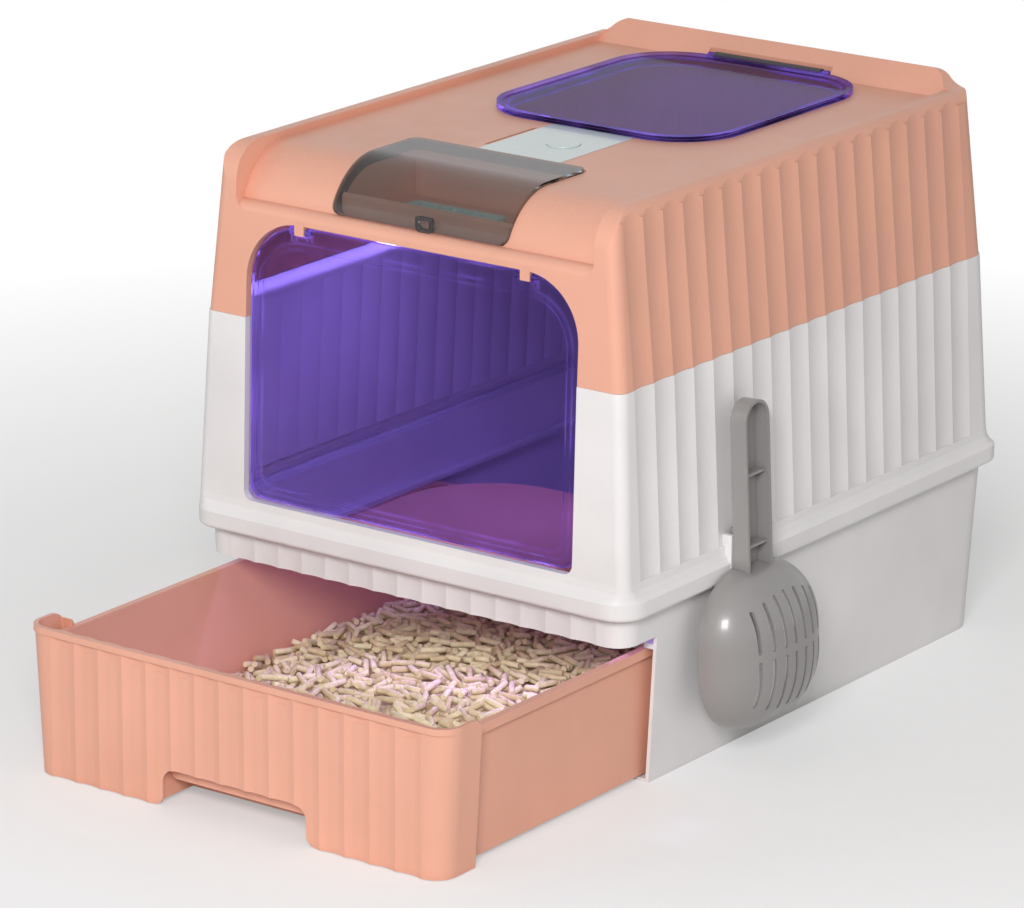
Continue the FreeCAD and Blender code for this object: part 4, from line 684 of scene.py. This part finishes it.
@dataclass
class LitterHeap:
    """Wood pellets that lie in the drawer, low at the left and high at the right.

    Attributes:
        finishes: The finishes.
        radius: Radius of a pellet.
        shortest: Length of the shortest pellet.
        longest: Length of the longest pellet.
        mean: Mean length of the pellets.
        spread: Standard deviation of their lengths.
        gap: Gap that pellets keep to the drawer's walls.
        bedding: Height of a pellet's axis over what it lies on, as a share of its radius.
        steepest: Steepest slope on which a pellet comes to rest.
        stray: Standard deviation of what a pellet's slope adds to its bed's.
        stand: Height to which a pellet may rise over the level.
        tries: Pellets that are dropped.
        cell: Pitch of the height map.
        depth: Depth of loose pellets on the heap's core.
        low: Litter level at the left.
        high: Litter level at the right.
        pocket: Half width, depth and height that the finger pocket's casing takes up at the front.
        margin: Gap between the litter and the edge of the room that the CAD keeps for it.
        sides: Corners of a pellet's cross section.
        bend: Largest bow of a pellet in millimetres.
        chipped: Largest slant of its ends in millimetres.
        ragged: Least and greatest share of the radius at a corner.
    """

    finishes: Finishes
    radius: float = 2.5 * MM
    shortest: float = 11.0 * MM
    longest: float = 26.0 * MM
    mean: float = 18.5 * MM
    spread: float = 4.5 * MM
    gap: float = 0.3 * MM
    bedding: float = 0.92
    steepest: float = 0.55
    stray: float = 0.16
    stand: float = 3.4 * MM
    tries: int = 15000
    cell: float = 1.5 * MM
    depth: float = 12.0 * MM
    low: float = 28.0 * MM
    high: float = 64.0 * MM
    pocket: tuple[float, float, float] = (77.0 * MM, 38.0 * MM, 41.0 * MM)
    margin: float = 1.5 * MM
    sides: int = 8
    bend: float = 0.5
    chipped: float = 0.8
    ragged: tuple[float, float] = (0.9, 1.04)

    def __post_init__(self) -> None:
        """Takes the bed's place from its CAD node."""
        low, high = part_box("litter_bed")
        self.left, self.right = low.x + self.margin, high.x - self.margin
        self.front, self.back = low.y + self.margin, high.y - self.margin
        self.floor = low.z + 0.5 * MM

    def level(self, x: np.ndarray, y: np.ndarray) -> np.ndarray:
        """Height of the litter's top at points across and along the bed."""
        half = self.right
        places = (-half, -0.7 * half, -half / 3.0, half / 4.0, half)
        middle = (self.low + self.high) / 2.0 + 4 * MM
        heights = (self.low, self.low + 6 * MM, middle, self.high - 2 * MM, self.high)
        ripple = 0.8 * MM * np.sin(x * 41.0 + 1.0) * np.sin(y * 33.0) - 1.2 * MM
        return np.interp(x, places, heights) + ripple

    def in_pocket(self, x: object, y: object, reach_x: float = 0.0, reach_y: float = 0.0) -> object:
        """Tells whether places lie over the finger pocket's casing."""
        return (np.abs(x) - reach_x < self.pocket[0]) & (y - reach_y < self.front + self.pocket[1])

    def cells(self, place: float, reach: float) -> tuple[int, int]:
        """First and past-the-last cell of the height map within a reach of a place."""
        return max(int((place - reach) / self.cell), 0), int((place + reach) / self.cell) + 1

    def drop(self) -> np.ndarray:
        """Drops pellets one by one on the pile's height map.

        Returns:
            One row per pellet: x, y, z, yaw, slope, length and tone.
        """
        random = np.random.default_rng(11)
        across = int((self.right - self.left) / self.cell)
        along = int((self.back - self.front) / self.cell)
        xs = self.left + (np.arange(across) + 0.5) * self.cell
        ys = self.front + (np.arange(along) + 0.5) * self.cell
        top = self.level(*np.meshgrid(xs, ys, indexing="ij"))
        pile = top - self.depth
        rows = []
        stops = 9
        steps = np.linspace(-0.5, 0.5, stops)
        for _ in range(self.tries):
            length = float(np.clip(random.normal(self.mean, self.spread), self.shortest, self.longest))
            yaw = random.uniform(0.0, math.pi)
            dx, dy = math.cos(yaw), math.sin(yaw)
            half = length / 2.0
            reach_x = abs(dx) * half + self.radius + self.gap
            reach_y = abs(dy) * half + self.radius + self.gap
            x = random.uniform(self.left + reach_x, self.right - reach_x)
            y = random.uniform(self.front + reach_y, self.back - reach_y)
            line = steps * length
            found = np.full(stops, -1.0)
            for side in (-0.6, 0.0, 0.6):
                ix = ((x + line * dx - side * self.radius * dy - self.left) / self.cell).astype(int)
                iy = ((y + line * dy + side * self.radius * dx - self.front) / self.cell).astype(int)
                sample = pile[np.clip(ix, 0, across - 1), np.clip(iy, 0, along - 1)]
                found = np.maximum(found, sample)
            near = stops // 2
            start, end = int(np.argmax(found[:near])), near + 1 + int(np.argmax(found[near + 1:]))
            bed = (found[end] - found[start]) / (line[end] - line[start])
            slope = float(np.clip(bed, -self.steepest, self.steepest)) + random.normal(0.0, self.stray)
            base = float(np.max(found - slope * line)) + self.radius * self.bedding
            crest = base + abs(slope) * half + self.radius
            limit = float(self.level(np.array(x), np.array(y))) + self.stand
            low_end = base - abs(slope) * half - self.radius
            if crest > limit or (self.in_pocket(x, y, reach_x, reach_y) and low_end < self.pocket[2]):
                continue
            rows.append((x, y, base, yaw, slope, length, random.random()))
            i0, i1 = self.cells(x - self.left, reach_x)
            j0, j1 = self.cells(y - self.front, reach_y)
            gx, gy = np.meshgrid(xs[i0:i1] - x, ys[j0:j1] - y, indexing="ij")
            s = gx * dx + gy * dy
            off = -gx * dy + gy * dx
            inside = (np.abs(off) < self.radius) & (np.abs(s) < half)
            height = base + slope * s + np.sqrt(np.maximum(self.radius ** 2 - off ** 2, 0.0))
            patch = pile[i0:i1, j0:j1]
            patch[inside] = np.maximum(patch[inside], height[inside])
        return np.array(rows)

    def pellets(self) -> None:
        """Builds all the pellets as one mesh."""
        rows = self.drop()
        random = np.random.default_rng(5)
        sides = self.sides
        turn = np.arange(sides) * 2.0 * math.pi / sides
        rings = ((-0.5, 0.93), (-0.485, 1.0), (0.0, 1.02), (0.485, 1.0), (0.5, 0.93))
        points, faces, tones, flat = [], [], [], []
        for x, y, z, yaw, slope, length, tone in rows:
            first = len(points)
            centre = Vector((x, y, z))
            axis = Vector((math.cos(yaw), math.sin(yaw), slope)).normalized()
            side = Vector((-math.sin(yaw), math.cos(yaw), 0.0))
            up = axis.cross(side)
            bow = random.uniform(-self.bend, self.bend) * MM
            chip = random.uniform(-self.chipped, self.chipped, 2) * MM
            for index, (t, scale) in enumerate(rings):
                ragged = random.uniform(*self.ragged, sides)
                for corner in range(sides):
                    r = self.radius * scale * ragged[corner]
                    c, s = math.cos(turn[corner]), math.sin(turn[corner])
                    lift = bow * (1.0 - 4.0 * t * t)
                    cut = {0: chip[0] * c, 1: chip[0] * c, 3: chip[1] * s, 4: chip[1] * s}.get(index, 0.0)
                    along = axis * (t * length + cut)
                    points.append(centre + along + side * (r * c + lift) + up * (r * s))
            for t in (-0.495, 0.495):
                points.append(centre + axis * (t * length))
            faces += [(a, d, c, b) for a, b, c, d in tube_faces(first, len(rings) - 1, sides)]
            caps = first + len(rings) * sides
            last = first + (len(rings) - 1) * sides
            for corner in range(sides):
                after = (corner + 1) % sides
                faces.append((caps, first + corner, first + after))
                faces.append((caps + 1, last + after, last + corner))
            flat.extend([True] * (len(rings) - 1) * sides + [False] * 2 * sides)
            tones.extend([tone] * (len(rings) * sides + 2))
        mesh = mesh_from("litter_pellets", np.array([tuple(p) for p in points]), faces)
        mesh.polygons.foreach_set("use_smooth", flat)
        attribute = mesh.attributes.new("pellet_tone", "FLOAT", "POINT")
        attribute.data.foreach_set("value", tones)
        piece = make_piece(self.finishes, "litter_pellets", mesh, "drawer", "wood_pellets")
        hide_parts("litter_bed")

    def core(self) -> None:
        """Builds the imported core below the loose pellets."""
        pitch = 4.0 * MM
        across = int((self.right - self.left) / pitch) + 1
        along = int((self.back - self.front) / pitch) + 1
        xs = np.linspace(self.left, self.right, across)
        ys = np.linspace(self.front, self.back, along)
        gx, gy = np.meshgrid(xs, ys, indexing="ij")
        bumps = 1.2 * MM * np.sin(gx * 700.0) * np.sin(gy * 640.0 + gx * 90.0)
        tops = self.level(gx, gy) - self.depth + 2.0 * MM + bumps
        tops = np.maximum(tops, self.floor + 1.0 * MM)
        inside = self.in_pocket(gx, gy)
        floor_z = np.where(inside, np.minimum(self.pocket[2], tops - 0.5 * MM), self.floor)
        upper = np.stack([gx, gy, tops], -1).reshape(-1, 3)
        lower = np.stack([gx, gy, floor_z], -1).reshape(-1, 3)
        count = across * along
        faces = []
        for i in range(across - 1):
            for j in range(along - 1):
                a, b = i * along + j, (i + 1) * along + j
                faces.append((a, b, b + 1, a + 1))
                faces.append((count + a, count + a + 1, count + b + 1, count + b))
        back = along - 1
        far = (across - 1) * along
        painted_rim_glow = [(j, j + 1) for j in range(back)] + [(far + j + 1, far + j) for j in range(back)]
        painted_rim_glow += [(i + along, i) for i in range(0, far, along)]
        painted_rim_glow += [(i + back, i + back + along) for i in range(0, far, along)]
        faces += [(a, b, count + b, count + a) for a, b in painted_rim_glow]
        mesh = mesh_from("litter_core", np.concatenate([upper, lower]), faces)
        make_piece(self.finishes, "litter_core", mesh, "drawer", "wood_pellets")

    def build(self) -> None:
        """Builds the core and the loose pellets."""
        self.core()
        self.pellets()


@dataclass
class ButtonSpring:
    """Coil spring below the round button.

    Attributes:
        finishes: The finishes.
        wire: Wire radius.
        turns: Number of turns.
        sides: Corners of the wire's cross section.
        stops: Points along each turn.
    """

    finishes: Finishes
    wire: float = 0.45 * MM
    turns: float = 4.5
    sides: int = 8
    stops: int = 28

    def build(self) -> None:
        """Winds the spring inside the sleeve that the CAD keeps for it."""
        low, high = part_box("button_spring")
        centre = (low + high) / 2.0
        radius = (high.x - low.x) / 2.0 - self.wire
        steps, sides = int(self.turns * self.stops), self.sides
        points = []
        for step in range(steps + 1):
            share = step / steps
            angle = share * self.turns * 2.0 * math.pi
            rise = low.z + self.wire + share * (high.z - low.z - 2.0 * self.wire)
            for corner in range(sides):
                turn = corner * 2.0 * math.pi / sides
                r = radius + self.wire * math.cos(turn)
                z = rise + self.wire * math.sin(turn)
                points.append((centre.x + r * math.cos(angle), centre.y + r * math.sin(angle), z))
        faces = tube_faces(0, steps, sides)
        faces.append(tuple(range(sides - 1, -1, -1)))
        faces.append(tuple(steps * sides + corner for corner in range(sides)))
        mesh = mesh_from("spring_coil", np.array(points), faces)
        piece = make_piece(self.finishes, "spring_coil", mesh, "cover", "steel")
        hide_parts("button_spring")
        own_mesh(piece)


@dataclass
class FilterBlock:
    """Open-celled carbon foam over the fan.

    Attributes:
        finishes: The finishes.
        pitch: Pitch of the surface's points.
        depth: Depth of the open cells.
    """

    finishes: Finishes
    pitch: float = 1.0 * MM
    depth: float = 0.7 * MM

    def build(self) -> None:
        """Builds the block's pitted surface inside the room that the CAD keeps for it."""
        low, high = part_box("carbon_filter")
        size = high - low
        counts = [int(round(length / self.pitch)) for length in size]
        shell = bmesh.new()
        bmesh.ops.create_cube(shell, size=1.0)
        for axis, count in enumerate(counts):
            edges = [e for e in shell.edges if abs((e.verts[0].co - e.verts[1].co)[axis]) > 0.9]
            bmesh.ops.subdivide_edges(shell, edges=edges, cuts=count - 1, use_grid_fill=True)
        random = np.random.default_rng(3)
        centre = (low + high) / 2.0
        for vertex in shell.verts:
            unit = vertex.co.copy()
            outer = max(abs(unit.x), abs(unit.y), abs(unit.z))
            pit = self.depth * random.random() ** 2 if outer > 0.499 else 0.0
            place = Vector([unit[axis] * (size[axis] - 2.0 * pit) for axis in range(3)])
            vertex.co = centre + place
        mesh = bpy.data.meshes.new("filter_block")
        shell.to_mesh(mesh)
        shell.free()
        piece = make_piece(self.finishes, "filter_block", mesh, "cover", "carbon_foam")
        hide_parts("carbon_filter")


@dataclass
class BoardParts:
    """Chips, resistors and capacitors on the circuit board.

    Attributes:
        finishes: The finishes.
        chips: Place across and along, and the three sides, of each chip in millimetres.
        cans: Place across and along, radius and height of each capacitor in millimetres.
        resistors: Number of small resistors.
        resistor: The three sides of a resistor in millimetres.
        in_row: Number of resistors in a row.
        first: Place of the first resistor in millimetres.
        steps: Distance to the next resistor and to the next row in millimetres.
        leg: The three sides of a chip's leg in millimetres.
        leg_pitch: Distance between two legs in millimetres.
        lift: Height of the chips over the board.
    """

    finishes: Finishes
    chips: tuple = ((44.0, 60.0, 10.0, 10.0, 1.2), (58.0, 30.0, 6.0, 8.0, 1.0), (34.0, 76.0, 5.0, 4.0, 1.0))
    cans: tuple = ((62.0, 52.0, 3.0, 3.4), (62.0, 66.0, 3.0, 3.4), (8.0, 18.0, 2.5, 3.0))
    resistors: int = 24
    resistor: tuple[float, float, float] = (2.0, 1.2, 0.5)
    in_row: int = 6
    first: tuple[float, float] = (30.0, 12.0)
    steps: tuple[float, float] = (4.0, 3.0)
    leg: tuple[float, float, float] = (1.0, 0.5, 0.35)
    leg_pitch: float = 1.27
    lift: float = 0.1 * MM

    @staticmethod
    def block(points: list, faces: list, low: Vector, size: Vector) -> None:
        """Adds a box to lists of points and faces."""
        first = len(points)
        for z in (0.0, 1.0):
            for x, y in ((0.0, 0.0), (1.0, 0.0), (1.0, 1.0), (0.0, 1.0)):
                points.append((low.x + x * size.x, low.y + y * size.y, low.z + z * size.z))
        for face in ((3, 2, 1, 0), (4, 5, 6, 7), (0, 1, 5, 4), (1, 2, 6, 5), (2, 3, 7, 6), (3, 0, 4, 7)):
            faces.append(tuple(first + corner for corner in face))

    @staticmethod
    def can(points: list, faces: list, centre: Vector, radius: float, height: float) -> None:
        """Adds an upright round can to lists of points and faces."""
        first, sides = len(points), 20
        for level, scale in ((0.0, 1.0), (0.85, 1.0), (1.0, 0.9)):
            for side in range(sides):
                turn, r = side * 2.0 * math.pi / sides, radius * scale
                place = centre + Vector((r * math.cos(turn), r * math.sin(turn), level * height))
                points.append(tuple(place))
        faces += tube_faces(first, 2, sides)
        faces.append(tuple(first + side for side in reversed(range(sides))))
        faces.append(tuple(first + 2 * sides + side for side in range(sides)))

    def add(self, name: str, points: list, faces: list, slot: str, finish: str = "") -> None:
        """Turns lists of points and faces into a piece on the cover."""
        mesh = mesh_from(name, np.array(points), faces, smooth=False)
        make_piece(self.finishes, name, mesh, "cover", slot, finish)

    def build(self) -> None:
        """Sets the parts on the board's top face."""
        low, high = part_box("circuit_board")
        top = high.z
        points, faces, legs, leg_faces = [], [], [], []
        for x, y, wide, deep, tall in self.chips:
            centre = Vector((low.x + x * MM, low.y + y * MM, top + self.lift))
            corner = centre - Vector((wide, deep, 0.0)) * (MM / 2.0)
            self.block(points, faces, corner, Vector((wide, deep, tall)) * MM)
            for side in (-1.0, 1.0):
                for pin in range(int(deep / self.leg_pitch)):
                    across = side * (wide / 2.0 + 0.4) - 0.5
                    place = centre + Vector((across, -deep / 2.0 + 0.4 + pin * self.leg_pitch, 0.0)) * MM
                    place.z = top
                    self.block(legs, leg_faces, place, Vector(self.leg) * MM)
        self.add("board_chips", points, faces, "dark_plastic")
        self.add("board_chip_legs", legs, leg_faces, "steel", "gold_contact")
        points, faces = [], []
        for x, y, radius, height in self.cans:
            self.can(points, faces, Vector((low.x + x * MM, low.y + y * MM, top)), radius * MM, height * MM)
        self.add("board_capacitors", points, faces, "steel")
        random = np.random.default_rng(8)
        points, faces = [], []
        for index in range(self.resistors):
            x = low.x + (self.first[0] + (index % self.in_row) * self.steps[0]) * MM
            y = low.y + (self.first[1] + (index // self.in_row) * self.steps[1]) * MM
            y += random.uniform(-0.2, 0.2) * MM
            self.block(points, faces, Vector((x, y, top)), Vector(self.resistor) * MM)
        self.add("board_resistors", points, faces, "dark_plastic")


@dataclass
class VioletLamp:
    """Lights that stand for the lamp bar under the module.

    Attributes:
        power: Power of the bar, in watts.
        wash: Power of the light that each side throws on the locating lip at the seam.
        wash_size: Length and height of that light.
        wash_out: Distance of that light from the middle.
        wash_rise: Its height over the seam.
        spill: Power of the light that comes out over the drawer.
        spill_size: Length and height of that light.
        spill_place: Its place to the right, behind the base's front and below the base's top.
        spill_way: Way in which it shines.
        colour: Colour of the light.
    """

    power: float = 0.66
    wash: float = 0.085
    wash_size: tuple[float, float] = (0.42, 0.003)
    wash_out: float = 0.110
    wash_rise: float = 6.0 * MM
    spill: float = 0.21
    spill_size: tuple[float, float] = (0.30, 0.02)
    spill_place: tuple[float, float, float] = (0.03, 0.03, 0.040)
    spill_way: tuple[float, float, float] = (0.0, -0.10, -0.07)
    colour: Colour = (0.48, 0.36, 1.0)

    def hang(
            self, name: str, place: Vector, way: Vector, size: tuple[float, float], power: float,
            spread: float) -> None:
        """Hangs one light on the cover.

        Args:
            name: Name of the light.
            place: Its centre.
            way: Way in which it shines.
            size: Its two sides.
            power: Power in watts.
            spread: Opening angle in degrees.
        """
        holder = hang_light(name, place, place + way, size, power, self.colour)
        holder.data.spread = math.radians(spread)
        holder.visible_camera = False
        holder.visible_transmission = False
        holder.visible_glossy = False
        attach(holder, "cover")

    def build(self) -> None:
        """Hangs the bar's light below its lens, one wash along each side and the spill."""
        low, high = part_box("lamp_lens")
        middle = (low + high) / 2.0
        below = Vector((middle.x, middle.y, low.z - 2.0 * MM))
        bar_size = (high.x - low.x, high.y - low.y)
        self.hang("lamp_bar_light", below, Vector((0.0, 0.0, -0.1)), bar_size, self.power, 180.0)
        cover_low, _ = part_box("top_cover")
        for name, side in (("seam_wash_left", -1.0), ("seam_wash_right", 1.0)):
            place = Vector((side * self.wash_out, 0.0, cover_low.z + self.wash_rise))
            self.hang(name, place, Vector((side, 0.0, 0.0)), self.wash_size, self.wash, 9.0)
        base_low, base_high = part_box("base_shell")
        right, behind, under = self.spill_place
        source = Vector((right, base_low.y + behind, base_high.z - under))
        self.hang("drawer_spill", source, Vector(self.spill_way), self.spill_size, self.spill, 150.0)


@dataclass(frozen=True)
class Studio:
    """Pale floor, soft lights and the photograph's camera.

    Attributes:
        azimuth: Camera azimuth from the front towards the right, in degrees.
        elevation: Camera height above the horizon, in degrees.
        roll: Camera roll, in degrees.
        distance: Distance from the aim to the camera.
        focal: Focal length in pixels of an image 1024 wide.
        aim: Height of the aim above the floor.
        aside: Shift of the aim to the right and up, in the image's plane.
        sky: Strength of the sky's light.
        fade: Distances from the middle between which the floor turns white.
    """

    azimuth: float = 36.2367519
    elevation: float = 17.1909543
    roll: float = 0.222324463
    distance: float = 4.31527666
    focal: float = 5370.13824
    aim: float = 0.230
    aside: tuple[float, float] = (-0.0748572586, -0.0539128723)
    sky: float = 0.36
    fade: tuple[float, float] = (0.45, 1.3)

    def camera(self) -> None:
        """Puts the camera where the photograph was taken from."""
        turn, rise, tilt = (math.radians(v) for v in (self.azimuth, self.elevation, self.roll))
        back = Vector((math.sin(turn) * math.cos(rise), -math.cos(turn) * math.cos(rise), math.sin(rise)))
        right = Vector((math.cos(turn), math.sin(turn), 0.0))
        up = back.cross(right)
        right, up = (
            right * math.cos(tilt) + up * math.sin(tilt), up * math.cos(tilt) - right * math.sin(tilt))
        target = Vector((0.0, 0.0, self.aim)) + right * self.aside[0] + up * self.aside[1]
        data = bpy.data.cameras.new("photo_camera")
        data.sensor_width = 36.0
        data.lens = self.focal / 1024.0 * data.sensor_width
        data.clip_start, data.clip_end = 0.1, 60.0
        camera = add_object("photo_camera", data)
        turned = Matrix((right, up, back)).transposed().to_4x4()
        camera.matrix_world = Matrix.Translation(target + back * self.distance) @ turned
        bpy.context.scene.camera = camera

    def floor(self) -> None:
        """Lays a round pale floor that fades to the white backdrop."""
        sides, radius, drop = 96, 14.0, 0.2 * MM
        turns = [2.0 * math.pi * i / sides for i in range(sides)]
        points = [(0.0, 0.0, 0.0)] + [(radius * math.cos(a), radius * math.sin(a), 0.0) for a in turns]
        faces = [(0, 1 + i, 1 + (i + 1) % sides) for i in range(sides)]
        mesh = mesh_from("studio_floor", np.array(points), faces, smooth=False)
        ground = add_object("studio_floor", mesh)
        ground.location.z = -drop
        material, graph, shader, output = new_material("studio_floor")
        paper = graph.noise(graph.place(), 40.0, 5.0)
        colour = graph.blend(paper, (0.86, 0.86, 0.86), (0.90, 0.90, 0.90))
        graph.surface(shader, colour, graph.span(paper, 0.3, 0.7, 0.75, 0.9))
        shader.inputs["Specular IOR Level"].default_value = 0.1
        far = graph.node("VectorMath", operation="LENGTH")
        graph.feed(far.inputs[0], graph.place())
        fade = graph.span(far.outputs["Value"], *self.fade, 0.35, 1.0)
        path = graph.node("LightPath")
        share = graph.math("MULTIPLY", fade, path.outputs["Is Camera Ray"])
        graph.mix_shaders(share, shader, graph.node("Emission"), output)
        mesh.materials.append(material)

    def world(self) -> None:
        """Sets an even grey sky that the camera sees as white."""
        world = bpy.data.worlds.new("studio_world")
        bpy.context.scene.world = world
        world.use_nodes = True
        graph = Graph(world.node_tree)
        output = next(n for n in world.node_tree.nodes if n.type == "OUTPUT_WORLD")
        soft = next(n for n in world.node_tree.nodes if n.type == "BACKGROUND")
        graph.feed(soft.inputs["Color"], (1.0, 0.99, 0.98))
        soft.inputs["Strength"].default_value = self.sky
        seen = graph.node("Background")
        graph.feed(seen.inputs["Color"], (1.0, 1.0, 1.0))
        seen.inputs["Strength"].default_value = 1.0
        path = graph.node("LightPath")
        share = graph.math("MAXIMUM", path.outputs["Is Camera Ray"], path.outputs["Is Transmission Ray"])
        share = graph.math("MAXIMUM", share, path.outputs["Is Glossy Ray"])
        graph.mix_shaders(share, soft, seen, output)

    def build(self) -> None:
        """Sets up the whole studio."""
        self.camera()
        self.floor()
        self.world()
        aim = Vector((0.0, 0.0, 0.2))
        hang_light("key_light", Vector((1.65, -2.80, 1.75)), aim, (0.9, 0.9), 76.0, (1.0, 0.985, 0.985))
        hang_light("fill_light", Vector((-2.6, -2.6, 1.2)), aim, (2.0, 2.0), 11.0, (0.98, 0.985, 1.0))
        bpy.context.scene.view_settings.view_transform = "Standard"
        log.info("set up the studio")


def main() -> None:
    """Builds every sub-assembly and reports each piece."""
    logging.basicConfig(level=logging.INFO, format="%(name)s %(message)s")
    finishes = Finishes()
    finishes.dress_frame()
    LitterHeap(finishes).build()
    ButtonSpring(finishes).build()
    FilterBlock(finishes).build()
    BoardParts(finishes).build()
    VioletLamp().build()
    Studio().build()


if __name__ == "__main__":
    main()
